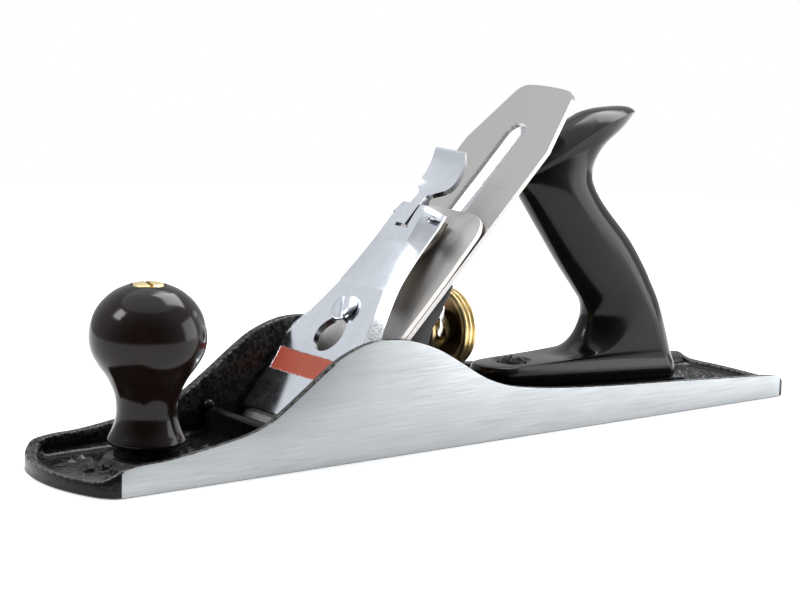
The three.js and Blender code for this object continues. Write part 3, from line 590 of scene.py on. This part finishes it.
def tote_pad():
    """The tote's sloping pad on the floor, flared at its foot."""
    outline = [(PAD_REAR, -PAD_RADIUS), *arc(PAD_FRONT, 0, PAD_RADIUS, -90, 90, 14), (PAD_REAR, PAD_RADIUS)]
    slope = (15.2 - 9.3) / (PAD_FRONT - PAD_REAR)
    rings = []
    for grow, z in ((3, 2), (3, 4.0001), (0.8, 5), (0, 6), (0, 8.8), (-0.4, 9.2)):
        ring = []
        for x, y in outline:
            away = grow if x > PAD_MIDDLE else -grow
            rise = 0 if z < 5 else slope * (x - PAD_REAR)
            ring.append((x + away, y * (1 + grow / PAD_RADIUS), z + rise))
        rings.append(ring)
    return loft(rings)


SCREW_HOLE = 2.9
SCREW_HEIGHT = 14


def casting():
    knob_low, knob_high = box_mm("front_knob")
    knob_x = (knob_low.x + knob_high.x) / 2
    boss_profile = [(0, 2), (20.5, 2), (20.2, 4), (18.2, 4.9), (16.9, 6.3), (16.2, 6.9), (14.4, 7.05),
                    (0, 7.05)]
    boss = moved(turned(boss_profile), x=knob_x)
    pad = tote_pad()
    seat = block((3, 62), (-21, 21), (2, 9.3))
    lug = block((6.6, 15), (-5, 5), (2, 20))
    ball = arc(0, 15.5, 2.6, -50, 90, 12)[:-1]
    post = turned([(0, 2), (3, 2), (2.6, 4.4), (1.7, 5.6), (1.6, 13.6), *ball, (0, 18.1)], 32)
    post = moved(post, x=88, y=-HALF_WIDTH + WALL + 1.6)
    details = joined(cross_rib(87.1, 2.2, 15.3), post, seat, lug)
    body = joined(casting_shell(), boss, pad, cross_rib(-1.5, 1.5, 7.5), details)
    front = MOUTH_X + 2 * math.sqrt(2) + 2
    mouth = prism([(MOUTH_X - 0.8, -1), (front, -1), (front, 2), (front + 1.2, 14), (MOUTH_X - 15.5, 14)],
                  -26.2, 26.2, "xzy")
    screw_hole = moved(rod(SCREW_HOLE, 0, 20), turn=ALONG_X, z=SCREW_HEIGHT)
    body = cut(body, mouth, screw_hole)
    toe_end = HALF_LENGTH - TOE_END[0] + 1.2
    heel_end = 2.2 - HALF_LENGTH + HEEL_END[0]
    for face in body.polygons:
        x, y, z = face.center
        upright = abs(face.normal.y) > 0.9 and abs(y) > HALF_WIDTH - 0.12
        cheek = upright and heel_end - 3 < x < toe_end
        face.material_index = 1 if cheek or (face.normal.z < -0.5 and z < 0.6) else 0
    piece("cast_body", body, [BLACK_ENAMEL, STEEL], "body", ["body_casting"], angle=38)


# ---------- Knob ----------
def driver_slot(width, top, depth, reach=9.0):
    return block((-reach, reach), (-width / 2, width / 2), (top - depth, top + 2))


def knob():
    low, high = box_mm("front_knob")
    base = low.z
    outline = smooth([(12.7, 0), (12.7, 1.6), (13.1, 2.8), (14.9, 4.4), (15.2, 5.4), (14.6, 6.8), (13.2, 9.6),
                      (12.1, 13.4), (11.8, 17.4), (12.5, 23), (15.3, 29.2), (18.8, 34.2), (21.4, 39),
                      (22.4, 44), (22, 49.2), (20.4, 54), (17.5, 58.3), (13.4, 61.9), (9.8, 63.8),
                      (7.4, 64.7)], 6)
    top = high.z - base
    profile = [(0, 0), *outline, (6.9, top), (6.6, top - 0.4), (6.6, 59.4), (0, 59.4)]
    middle = at((low.x + high.x) / 2, 0, base)
    piece("knob", turned(profile, 128), KNOB_PLASTIC, "body", ["front_knob"], middle, angle=40)


def barrel_nut(name, node, place, length):
    """A brass nut with a round slotted head on a barrel, its head's top at local z 0."""
    head = [(0, 0), (4.2, 0), (5.2, -0.12), (5.9, -0.5), (6.2, -1.1), (6.2, -5.6), (6, -5.8)]
    profile = [*head, (4.7, -6), (4.7, -length + 0.5), (4.3, -length), (0, -length)]
    body = cut(turned(profile, 64), driver_slot(1.5, 0, 1.9))
    piece(name, body, BRASS, "body", [node], place)


# ---------- Tote ----------
# Sections of the tote from its foot to the crease under the horn:
# front x and z, rear x and z, half width, and how far the front and rear roundings reach along it.
TOTE_SECTIONS = [
    (-28.6, 15.7, -133.2, 9.6, 11.2, 11, 9),
    (-27.4, 17, -133.5, 11.2, 12, 12, 9.5),
    (-27.2, 20.4, -133.3, 13.6, 12.2, 12, 10),
    (-28.0, 22.8, -132.8, 16, 12, 12, 10.5),
    (-30.6, 23.9, -132.2, 18, 11.6, 12, 11),
    (-46, 24, -131.4, 20.6, 11.6, 12, 12),
    (-60, 23.9, -130.4, 24, 11.9, 13, 13),
    (-70.5, 24, -129.2, 28, 12.1, 16, 13.6),
    (-77.4, 26.4, -127.7, 32.5, 12.2, 18, 14),
    (-82.4, 31.6, -125.8, 38, 12.3, 20, 14.5),
    (-85.2, 38.6, -123, 44.6, 12.3, 20, 15),
    (-84.5, 44.4, -119, 51.6, 12.3, 19, 15),
    (-79.9, 50.6, -114.2, 59.6, 12.3, 18, 15),
    (-70.6, 62.1, -105.2, 71.8, 12.3, 18, 15),
    (-59.8, 76.6, -92.6, 85, 12.2, 18, 15),
    (-52.3, 86.8, -86.4, 92.8, 12, 18, 15),
    (-47.6, 93.4, -83.8, 99, 11.6, 18, 16),
    (-45.6, 96.6, -85.6, 105.5, 11, 19, 18),
    (-45.0, 98.2, -91.6, 112, 10.5, 21, 22),
    (-44.7, 99.4, -101.5, 118.2, 10.4, 24, 27),
    (-44.5, 100.4, -108, 124.4, 11.2, 27, 32),
]
ROD_FOOT = Vector((-108, 0, 7))
ROD_HEAD = Vector((-54, 0, 109.3))
ROD_TURN = (ROD_HEAD - ROD_FOOT).to_track_quat("Z", "Y").to_matrix().to_4x4()
NUT_DEPTH = 1.5
# How far the crease under the top stands above a straight line, by the share of the way from its front.
CREASE_RISE = smooth([(0, 0), (0.16, 2.4), (0.28, 3.7), (0.46, 5.1), (0.64, 5.5), (0.8, 4.3), (0.9, 2.8),
                      (1, 0)], 6)
CREASE_STEPS = 20
TOP_RISE = smooth([(0, 0.6), (0.16, 6), (0.28, 9), (0.41, 11), (0.51, 11.3), (0.6, 11), (0.72, 9.1),
                   (0.91, 4.6), (1, 1)], 6)


def tote_ring(section, arched, shrink=0.0, raised=0.0):
    """One section as points round it, arched by a share of the crease's rise. The top narrows and rises."""
    fx, fz, rx, rz, half, front, rear = section
    length = math.hypot(rx - fx, rz - fz)
    turns = [math.pi * i / 32 for i in range(33)]
    side = []
    for t in turns:
        forward = t <= math.pi / 2
        along = front * (1 - math.cos(t)) if forward else length - rear * (1 + math.cos(t))
        side.append((along / length, math.sin(t)))
    whole = side + [(a, -c) for a, c in side[::-1][1:-1]]
    ring = []
    for share, across in whole:
        crease = arched * read(CREASE_RISE, share)
        lift = crease + raised * (read(TOP_RISE, share) - crease)
        ring.append((fx + (rx - fx) * share, half * across * (1 - shrink), fz + (rz - fz) * share + lift))
    return ring


def tote():
    sections = smooth(TOTE_SECTIONS, 5)
    last = len(sections) - 1
    rings = []
    for k, section in enumerate(sections):
        rings.append(tote_ring(section, max(0, 1 - (last - k) / CREASE_STEPS) ** 1.5))
    for k in range(1, 11):
        shrink = k / 10
        rings.append(tote_ring(sections[last], 1, shrink, 1 - (1 - shrink) ** 2.2))
    points, faces = loft(rings, capped=False)
    faces.append(list(range(len(rings[0])))[::-1])
    body = to_mesh((points, faces))
    screw_low, screw_high = box_mm("tote_toe_screw")
    screw_x = (screw_low.x + screw_high.x) / 2
    dish = moved(turned([(0, 21.6), (6.1, 21.6), (6.3, 23), (8.6, 23.9), (9.4, 25), (0, 25)]), x=screw_x)
    recess = turned([(0, -26), (5.1, -26), (5.1, -8.2), (6.6, -8.2), (6.6, -0.8), (7.2, 0.4), (9, 8), (0, 8)])
    nut_hole = moved(recess, turn=ROD_TURN, x=ROD_HEAD.x, z=ROD_HEAD.z)
    piece("rear_tote", cut(body, dish, nut_hole), TOTE_PLASTIC, "body", ["tote"], angle=33)


def toe_screw():
    """The tote's toe screw: a black cone-shaped head with a wide slot."""
    low, high = box_mm("tote_toe_screw")
    top = high.z
    head = [(0, low.z), (2.5, low.z), (2.5, top - 3.7), (5.6, top - 3.7), (5.7, top - 3.1), (4.9, top - 1.6),
            (3.4, top - 0.3), (2.4, top), (0, top)]
    body = cut(turned(head, 64), driver_slot(1.3, top, 1.6))
    place = at((low.x + high.x) / 2) @ Matrix.Rotation(math.radians(40), 4, "Z")
    piece("toe_screw", body, BLACK_OXIDE, "body", ["tote_toe_screw"], place)


# ---------- Frog and what is on it ----------
FROG_SCREW_HEAD = [(5.4, 0), (5.4, 1.9), (5.1, 2.6), (4.2, 3.2), (2.6, 3.55), (0, 3.6)]


def frog_fastenings():
    for word in ("left", "right"):
        low, high = box_mm("frog_screw_" + word)
        seat = high.z - 3.6
        place = at((low.x + high.x) / 2, (low.y + high.y) / 2, seat)
        profile = [(0, low.z - seat), (2.5, low.z - seat), (2.5, 0), *FROG_SCREW_HEAD]
        body = cut(turned(profile, 64), driver_slot(1.2, 3.6, 1.7))
        piece("clamp_screw_" + word, body, SCREW_STEEL, "body", ["frog_screw_" + word], place,
              bevel=0.15)
        low, high = box_mm("frog_washer_" + word)
        ring = [(2.8, 0), (5.4, 0), (5.6, 0.2), (5.6, 1.3), (5.4, 1.5), (2.8, 1.5)]
        place = at((low.x + high.x) / 2, (low.y + high.y) / 2, low.z)
        piece("clamp_washer_" + word, turned(ring, 64, closed=True), SCREW_STEEL, "body",
              ["frog_washer_" + word], place)
    refined("frog_casting", "frog", FROG_ENAMEL, "frog", 0.25)
    refined("yoke_clip", "frog_clip", SCREW_STEEL, "frog", 0.25)
    low, high = box_mm("frog_clip_screw")
    centre = (low + high) / 2
    profile = [(0, high.x), (1.7, high.x), (1.7, -2.4), (3.8, -2.4), (3.8, -4), (3, -4.8), (1.6, -5), (0, -5)]
    body = cut(turned(profile, 48), block((-6, 6), (-0.5, 0.5), (-6, -4.1)))
    piece("clip_screw", body, SCREW_STEEL, "frog", ["frog_clip_screw"],
          at(0, centre.y, centre.z) @ ALONG_X, bevel=0.15)
    low, high = box_mm("frog_adjusting_screw")
    centre = (low + high) / 2
    profile = [(0, 14), (2.2, 14), (2.6, 13.4), (2.6, 1.6), (4, 1.6), (4, 0.4), (2, 0.4), (2, -2.6),
               (4.6, -2.6), (4.8, -3), (4.8, -8.2), (4.4, -8.8), (3, -9), (0, -9)]
    body = cut(turned(profile, 64), block((-6, 6), (-0.6, 0.6), (-10, -7.5)))
    piece("adjusting_screw", body, SCREW_STEEL, "frog_adjusting_screw", ["frog_adjusting_screw"],
          at(0, centre.y, centre.z) @ ALONG_X, bevel=0.15)


def depth_adjuster():
    low, high = box_mm("depth_wheel")
    centre = (low + high) / 2
    axis = at(0, centre.y, centre.z) @ ALONG_X
    rim = high.z - centre.z
    rear = low.x
    front = high.x
    ribs = []
    for k in range(3):
        ribs += [(rim - 0.9 + r, x) for x, r in arc(rear + 1.3 + 2.1 * k, 0, 0.9, 170, 10, 8)]
    profile = [(3.3, rear), (rim - 3.2, rear), (rim - 2.4, rear + 0.15), *ribs,
               (rim - 2.2, rear + 6.5), (rim - 2.9, rear + 6.2), (rim - 3.5, rear + 3),
               (rim - 4.3, rear + 2.4), (7.6, rear + 2.3), (6.9, rear + 2.6), (6.6, front), (3.3, front)]
    body = to_mesh(turned(profile, 128, closed=True))
    # Faces inside the rim take the darker brass: partly unpolished brass, partly painted shade in the hollow.
    for face in body.polygons:
        radius = math.hypot(face.center.x, face.center.y)
        face.material_index = 1 if radius < rim - 2.5 else 0
    piece("adjusting_wheel", body, [BRASS, SHADED_DULL_BRASS], "depth_wheel", ["depth_wheel"], axis)
    low, high = box_mm("wheel_collar")
    profile = [(3.3, low.x), (7.4, low.x), (7.6, low.x + 0.2), (7.6, -4.7), (7.4, -4.5), (5, -4.5), (5, 0.5),
               (7, 0.5), (7.2, 0.7), (7.2, high.x - 0.2), (7, high.x), (3.3, high.x)]
    collar = turned(profile, 96, closed=True)
    piece("grooved_collar", collar, BRASS, "wheel_collar", ["wheel_collar"], axis)
    low, high = box_mm("adjusting_stud")
    profile = [(0, low.x), (2.3, low.x), (3, low.x + 0.7)]
    for k in range(int(rear - low.x - 1)):
        x = low.x + 0.9 + k
        profile += [(3, x), (2.6, x + 0.5)]
    profile += [(3, rear), (3, high.x), (0, high.x)]
    stud = turned(profile, 48)
    piece("threaded_stud", stud, SCREW_STEEL, "frog", ["adjusting_stud"], axis, angle=50)
    refined("adjusting_lever", "y_lever", POLISHED, "y_lever", 0.2)
    low, high = box_mm("y_lever_pin")
    centre = (low + high) / 2
    profile = [(0, low.y), (1.2, low.y), (1.5, low.y + 0.3), (1.5, high.y - 0.3), (1.2, high.y), (0, high.y)]
    piece("lever_pin", turned(profile, 40), SCREW_STEEL, "frog", ["y_lever_pin"],
          at(centre.x, 0, centre.z) @ ALONG_Y)


# ---------- Cutter, cap iron and lateral adjuster, drawn on the bed ----------
HALF_CUTTER = 25.4
CUTTER_THICK = 2.0
CUTTER_TIP = -1.7
CUTTER_TOP = 191.7
CUTTER_LAND = 0.05
SLOT_HALF = 5.55
SLOT_TOP = 171.4
BEVEL_ANGLE = math.radians(25)


def mirrored(points):
    """An outline given for y above 0, with its other half added."""
    return points + [(s, -y) for s, y in points[::-1]]


def cutter():
    upper = bend((159.4, HALF_CUTTER), (160.6, HALF_CUTTER), (161.8, 24.9), 4)
    upper += bend((186.6, 17.6), (190.2, 16.4), (191, 12.5), 8)
    upper += bend((191, 12.5), (CUTTER_TOP, 8), (CUTTER_TOP, 0), 6)[1:-1]
    outline = mirrored([(CUTTER_TIP, HALF_CUTTER), *upper])
    blank = prism(outline, 0, CUTTER_THICK)
    slope = math.tan(BEVEL_ANGLE)
    edge = CUTTER_THICK - CUTTER_LAND
    wedge = [(CUTTER_TIP - 1, -2), (CUTTER_TIP - 1, edge + slope), (CUTTER_TIP + (edge + 2) / slope, -2)]
    below = prism(wedge, -27, 27, "xzy")
    opening = slot(40.5, SLOT_TOP - SLOT_HALF, SLOT_HALF, -1, 5)
    blade = to_mesh(cut(blank, below, opening))
    blade.transform(Matrix.Scale(1 / MM, 4) @ BED @ Matrix.Scale(MM, 4))
    piece("cutter_blade", blade, CUTTER_STEEL, "cutter_assembly", ["cutter"], bevel=0.22)


CAP_IRON_TOP = 122.0
CAP_IRON_UNDER = smooth([(1.6, 2.3), (4, 3.6), (8, 5), (12, 5.2), (17, 3.9), (24, 2.4), (34, 2.3), (84, 2.3),
                         (104, 2.8), (CAP_IRON_TOP, 3.4)], 6)


def cap_iron():
    top = [(s, n + 2) for s, n in CAP_IRON_UNDER[6:]]
    strip = prism([*CAP_IRON_UNDER, *top[::-1]], -HALF_CUTTER, HALF_CUTTER, "xzy")
    start = (CAP_IRON_TOP - 9.5, HALF_CUTTER)
    rounding = bend(start, (CAP_IRON_TOP - 1, 24.4), (CAP_IRON_TOP, 16), 10)[1:]
    corner = mirrored([(-5, HALF_CUTTER + 1), (CAP_IRON_TOP - 12, HALF_CUTTER + 1), start, *rounding,
                       (CAP_IRON_TOP + 0.2, 8)])
    kept = prism(corner, -4, 20)
    body = boolean(strip, kept, "INTERSECT")
    lever_hole = block((73.7, 78.3), (-3.4, 3.4), (0, 10))
    body = cut(body, moved(rod(4.3, 0, 10), x=42), slot(57.2, 63.6, 4.3, 0, 10), lever_hole)
    piece("chip_breaker", body, CAP_IRON_STEEL, "cutter_assembly", ["cap_iron"], BED, bevel=0.3)


def bed_turning(name, node, profile, s, finish, body, segments=64, driver=None, bevel=0.15,
                closed=False):
    """A turned piece that stands on the bed at s, with a driver slot if it has one."""
    shape = turned(profile, segments, closed)
    if driver:
        shape = cut(shape, driver)
    piece(name, shape, finish, body, [node], BED @ at(s), bevel=bevel)


def bed_hardware():
    bed_turning("chip_breaker_screw", "cap_iron_screw",
                [(0, -3), (5.6, -3), (6.6, -2.6), (6.8, -2.2), (6.8, -0.3), (4, -0.3), (4, 4.4), (3.7, 4.6),
                 (0, 4.6)],
                42, SCREW_STEEL, "cutter_assembly", driver=block((-8, 8), (-0.7, 0.7), (-4, -1.8)))
    angle = Matrix.Rotation(math.radians(35), 4, "Z")
    cap_driver = moved(block((-8, 8), (-0.7, 0.7), (17.1, 21)), turn=angle)
    bed_turning("cap_holding_screw", "lever_cap_screw",
                [(0, -10), (3.6, -10), (3.6, 16.2), (5.9, 16.2), (6.2, 16.5), (6.2, 17.3), (5.7, 17.9),
                 (4.2, 18.4), (2.2, 18.6), (0, 18.6)],
                60.4, CHROME, "frog", 96, cap_driver, 0)
    bed_turning("lateral_lever_pivot", "lateral_pivot",
                [(0, -7.5), (2, -7.5), (2, -0.5), (3.2, -0.5), (3.4, -0.2), (3.2, 0.3), (2, 0.6), (0, 0.6)],
                97, SCREW_STEEL, "frog")
    bed_turning("roller", "lateral_roller",
                [(1.7, -0.4), (3.3, -0.4), (3.5, -0.2), (3.5, 1.6), (3.3, 1.8), (1.7, 1.8)],
                89, POLISHED, "lateral_roller", closed=True)
    bed_turning("spring_fixing_rivet", "spring_rivet",
                [(0, 9.2), (1.8, 9.3), (2.7, 9.6), (3, 10), (1.5, 10), (1.5, 14.6), (0, 14.6)],
                80, SCREW_STEEL, "lever_cap", bevel=0)


def strip_along(centre, thickness, halves):
    """A bent strip of square section: a centre line of (s, n) with a half width at each point."""
    rings = []
    for k, (s, n) in enumerate(centre):
        a = Vector(centre[max(0, k - 1)])
        b = Vector(centre[min(len(centre) - 1, k + 1)])
        direction = (b - a).normalized()
        normal = Vector((-direction.y, direction.x)) * thickness / 2
        w = halves[k]
        rings.append([(s - normal.x, -w, n - normal.y), (s - normal.x, w, n - normal.y),
                      (s + normal.x, w, n + normal.y), (s + normal.x, -w, n + normal.y)])
    return loft(rings)


def lateral_lever():
    line = smooth([(93, -1.6), (97, -1.6), (100.5, -1.7), (104, -2.9), (107.5, -4.1), (114, -4.1),
                   (169.4, -4.1), (172.8, -4.3), (174.4, -5.4), (174.9, -7.9)], 5)
    widths = [(93, 5.2), (108, 5.6), (150, 3.4), (168.4, 3.1), (171.4, 3.8), (173.4, 6.8), (174.7, 7.3),
              (175.4, 7)]
    halves = [read(widths, s) for s, n in line]
    strip = strip_along(line, 1.6, halves)
    head = prism(arc(89, 0, 3.4, 90, 270, 20) + [(97, -5.3), (98, 0), (97, 5.3)], -2.4, -0.8)
    stem = moved(turned([(0, -1.4), (1.5, -1.4), (1.5, 1.6), (1.3, 1.8), (0, 1.8)], 40), x=89)
    body = cut(joined(strip, head, stem), moved(rod(2.3, -10, 5), x=97))
    piece("lateral_adjusting_lever", body, CHROME, "lateral_lever", ["lateral_lever"], BED,
          bevel=0.3)


# ---------- Lever cap ----------
# Up the bed, half width and height of the flat top, half width and height of the rim.
LEVER_CAP_SECTIONS = [
    (10.5, 25.0, 10.2, 25.4, 7.8),
    (20, 25.2, 10.8, 25.4, 8),
    (30, 25.1, 11.8, 25.4, 8.2),
    (41, 24.9, 14, 25.4, 9),
    (48, 24.2, 14.9, 25.4, 10),
    (54, 21.6, 15.2, 24.6, 10.6),
    (60, 18.6, 15.6, 22.6, 11.6),
    (69, 15.2, 16.4, 19.8, 12.6),
    (79, 11.8, 17.5, 17.4, 13.4),
    (93, 9.6, 18.6, 16, 13.7),
    (106, 8.2, 19.8, 15.8, 14),
    (112.3, 7.7, 20.1, 15.2, 14.5),
]
KEYHOLE = 48.4
CAM_PIN = 108.0
CAM_PIN_HEIGHT = 17.0
CAP_WALL = 2.8


def lever_cap():
    rings = []
    for s, flat, top, half, rim in smooth(LEVER_CAP_SECTIONS, 6):
        low = max(top - CAP_WALL, rim + 0.2)
        inner = min(flat - 0.6, half - CAP_WALL - 0.4)
        right = [(inner, low), (half - CAP_WALL, rim + 0.1), (half - 0.3, rim), (half, rim + 0.3),
                 (half, rim + 1), (flat, top)]
        ring = right + [(-y, n) for y, n in right[::-1]]
        rings.append([(s, y, n) for y, n in ring])
    nose = [(rings[0][0][0] - 0.6, y, n - 0.5 if n > 9 else n) for s, y, n in rings[0]]
    shell = loft([nose, *rings])
    bearing = block((10.1, 26), (-25, 25), (7.8, 10))
    ear = [(3.6, 18.6), (3.6, 13), (12.4, 13), (12.4, 15.6), (8, 18.6)]
    ears = [prism([(side * y, n) for y, n in ear], 103, 111.6, "yzx") for side in (-1, 1)]
    boss = moved(rod(4, 11.4, 16), x=80)
    large = moved(rod(8, 0, 40), x=KEYHOLE)
    narrow = slot(KEYHOLE, 60.4, 4.7, 0, 40)
    gap = [(120, -3.4), (101.6, -3.4), (101.6, -4.9), (100.8, -4.9), (100.8, 3.4), (120, 3.4)]
    cam_slot = prism(gap, 0, 40)
    pin_hole = moved(rod(1.75, -30, 30), turn=ALONG_Y, x=CAM_PIN, z=CAM_PIN_HEIGHT)
    rivet_hole = moved(rod(1.6, 0, 15), x=80)
    body = cut(joined(shell, bearing, boss, *ears), large, narrow, cam_slot, pin_hole, rivet_hole)
    piece("lever_cap_plate", body, CAP_CHROME, "lever_cap", ["lever_cap"], BED, bevel=0.35)
    line = smooth([(76, 10.7), (84, 10.7), (93, 8.6), (102, 6.6), (109, 6.3), (114, 7)], 8)
    spring = cut(strip_along(line, 0.8, [8] * len(line)), moved(rod(1.6, 0, 15), x=80))
    piece("leaf_spring", spring, SPRING_STEEL, "lever_cap", ["lever_cap_spring"], BED, bevel=0.12)
    low, high = box_mm("cam_pin")
    end = (high.y - low.y) / 2
    pin = turned([(0, -end), (1.2, -end), (1.7, -end + 0.4), (1.7, end - 0.4), (1.2, end), (0, end)], 40)
    piece("cam_pivot_pin", pin, POLISHED, "lever_cap", ["cam_pin"],
          BED @ at(CAM_PIN, 0, CAM_PIN_HEIGHT) @ ALONG_Y)


# The cam lever's thumb pad: up the bed, half width, height of its top, and how far its middle dips.
PAD_SECTIONS = [
    (113, 2.9, 20.3, 0),
    (116.5, 3, 20, 0),
    (118.4, 4.2, 19.4, 0.1),
    (120.4, 7, 18.8, 0.3),
    (122.6, 9.4, 18.3, 0.5),
    (126, 10.3, 17.9, 0.7),
    (130.5, 10.4, 18.4, 0.8),
    (134.6, 10.2, 19.6, 0.7),
    (137, 9.9, 20.9, 0.5),
    (138.6, 9.6, 22, 0.3),
    (139.6, 9.3, 21.8, 0.2),
]


def cam_lever():
    rings = []
    for s, half, top, dip in smooth(PAD_SECTIONS, 4):
        thick = 2.5 if s < 136 else max(1.2, 2.5 - (s - 136) * 0.4)
        across = [half * (i / 8 - 1) for i in range(17)]
        upper = [(y, top - dip * (1 - (y / half) ** 2)) for y in across]
        lower = [(y * 0.94, n - thick) for y, n in upper]
        rings.append([(s, y, n) for y, n in upper + lower[::-1]])
    pad = loft(rings)
    neck_side = [(101.9, 20.3), (114, 20.4), (117, 20.1), (117, 17.4), (112.4, 15), (109.4, 7.6),
                 (108.8, 7.1), (107, 7.1), (106.4, 7.6), (103.6, 14.4), (102.2, 17)]
    neck = prism(neck_side, -2.9, 2.9, "xzy")
    bore = moved(rod(1.75, -20, 20), turn=ALONG_Y, x=CAM_PIN, z=CAM_PIN_HEIGHT)
    body = cut(joined(pad, neck), bore)
    piece("cam_thumb_lever", body, CHROME, "cam_lever", ["cam_lever"], BED)


# ---------- The pieces ----------
casting()
knob()
nut_low, nut_high = box_mm("knob_nut")
barrel_nut("knob_top_nut", "knob_nut", at((nut_low.x + nut_high.x) / 2, 0, nut_high.z)
           @ Matrix.Rotation(math.radians(70), 4, "Z"), nut_high.z - nut_low.z)
tote()
tote_nut_top = ROD_HEAD - (ROD_HEAD - ROD_FOOT).normalized() * NUT_DEPTH
barrel_nut("tote_top_nut", "tote_nut", at(*tote_nut_top) @ ROD_TURN, 21 - NUT_DEPTH)
toe_screw()
frog_fastenings()
depth_adjuster()
cutter()
cap_iron()
bed_hardware()
lateral_lever()
lever_cap()
cam_lever()
for node in ("knob_stud", "tote_rod"):
    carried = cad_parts[node]
    carried.data.materials.clear()
    carried.data.materials.append(SCREW_STEEL)

# ---------- Camera, floor and light ----------
CAMERA_PLACE = Vector((0.74912, 0.93453, 0.27508))
CAMERA_YAW = math.radians(-128.2)
CAMERA_PITCH = math.radians(10.49)
CAMERA_ROLL = math.radians(1.47)
CAMERA_LENS = 135.9


def camera():
    flat = math.cos(CAMERA_PITCH)
    look = Vector((math.cos(CAMERA_YAW) * flat, math.sin(CAMERA_YAW) * flat, -math.sin(CAMERA_PITCH)))
    level = look.cross(Vector((0, 0, 1))).normalized()
    above = level.cross(look)
    right = level * math.cos(CAMERA_ROLL) + above * math.sin(CAMERA_ROLL)
    up = above * math.cos(CAMERA_ROLL) - level * math.sin(CAMERA_ROLL)
    data = bpy.data.cameras.new("camera")
    data.lens = CAMERA_LENS
    data.sensor_width = 36
    made = bpy.data.objects.new("camera", data)
    bpy.context.scene.collection.objects.link(made)
    made.matrix_world = Matrix.Translation(CAMERA_PLACE) @ Matrix((right, up, -look)).transposed().to_4x4()
    bpy.context.scene.camera = made
    return look, right, up


def floor():
    points, faces = turned([(0, 0), (700, 0)], 96)
    mesh = bpy.data.meshes.new("floor")
    mesh.from_pydata([Vector(p) * MM for p in points], [], faces)
    made = linked("floor", mesh)
    surface = Surface("pale_floor", (0.9, 0.9, 0.9), 0.9, specular=0.1)
    surface.tint(surface.spread(surface.noise(3, 3), 0.3, 0.7), (0.89, 0.89, 0.895))
    surface.set("Emission Color", (1, 1, 1, 1))
    surface.set("Emission Strength", 0.3)
    mesh.materials.append(surface.material)


def soft_box(name, place, target, size, power):
    """A large square light that faces a point."""
    data = bpy.data.lights.new(name, "AREA")
    data.size = size
    data.energy = power
    made = bpy.data.objects.new(name, data)
    bpy.context.scene.collection.objects.link(made)
    facing = (place - target).to_track_quat("Z", "Y").to_matrix().to_4x4()
    made.matrix_world = Matrix.Translation(place) @ facing


TOWARDS_CAMERA = (0.63, 0.775, 0)


def room():
    """White to the camera. For light and reflections, a bright room that is dark around the camera."""
    world = bpy.data.worlds.new("studio")
    bpy.context.scene.world = world
    world.use_nodes = True
    nodes = world.node_tree.nodes
    links = world.node_tree.links
    nodes.clear()

    def node(kind, *inputs, **settings):
        made = nodes.new(kind)
        for name, value in settings.items():
            setattr(made, name, value)
        for socket, value in zip(made.inputs, inputs):
            if isinstance(value, bpy.types.NodeSocket):
                links.new(value, socket)
            else:
                socket.default_value = value
        return made

    direction = node("ShaderNodeTexCoord").outputs["Generated"]
    facing = node("ShaderNodeVectorMath", direction, TOWARDS_CAMERA, operation="DOT_PRODUCT").outputs["Value"]
    around = node("ShaderNodeMapRange", facing, 0.1, 0.85, 0.62, 0.05).outputs["Result"]
    height = node("ShaderNodeSeparateXYZ", direction).outputs["Z"]
    over = node("ShaderNodeMapRange", height, 0.1, 0.8, 1, 1.3).outputs["Result"]
    strength = node("ShaderNodeMath", around, over, operation="MULTIPLY").outputs[0]
    light = node("ShaderNodeBackground", (0.95, 0.975, 1, 1), strength).outputs[0]
    seen = node("ShaderNodeBackground", (1, 1, 1, 1), 1.0).outputs[0]
    to_camera = node("ShaderNodeLightPath").outputs["Is Camera Ray"]
    mixed = node("ShaderNodeMixShader", to_camera, light, seen).outputs[0]
    node("ShaderNodeOutputWorld", mixed)


def studio(look, right, up):
    room()
    centre = Vector((0, 0, 0.05))
    sun = bpy.data.lights.new("top_light", "SUN")
    sun.energy = 0.9
    sun.angle = math.radians(70)
    top = bpy.data.objects.new("top_light", sun)
    bpy.context.scene.collection.objects.link(top)
    top.rotation_euler = (math.radians(8), math.radians(-6), 0)
    soft_box("key_light", centre - look * 0.45 - right + up * 0.85, centre, 0.4, 6)
    soft_box("fill_light", centre + look * 0.1 + right * 1.4 + up * 0.25, centre, 0.9, 9)
    soft_box("back_light", centre + look * 0.4 + right * 0.5 + up * 1.3, centre, 0.8, 14)


studio(*camera())
floor()
bpy.context.scene.view_settings.view_transform = "Standard"
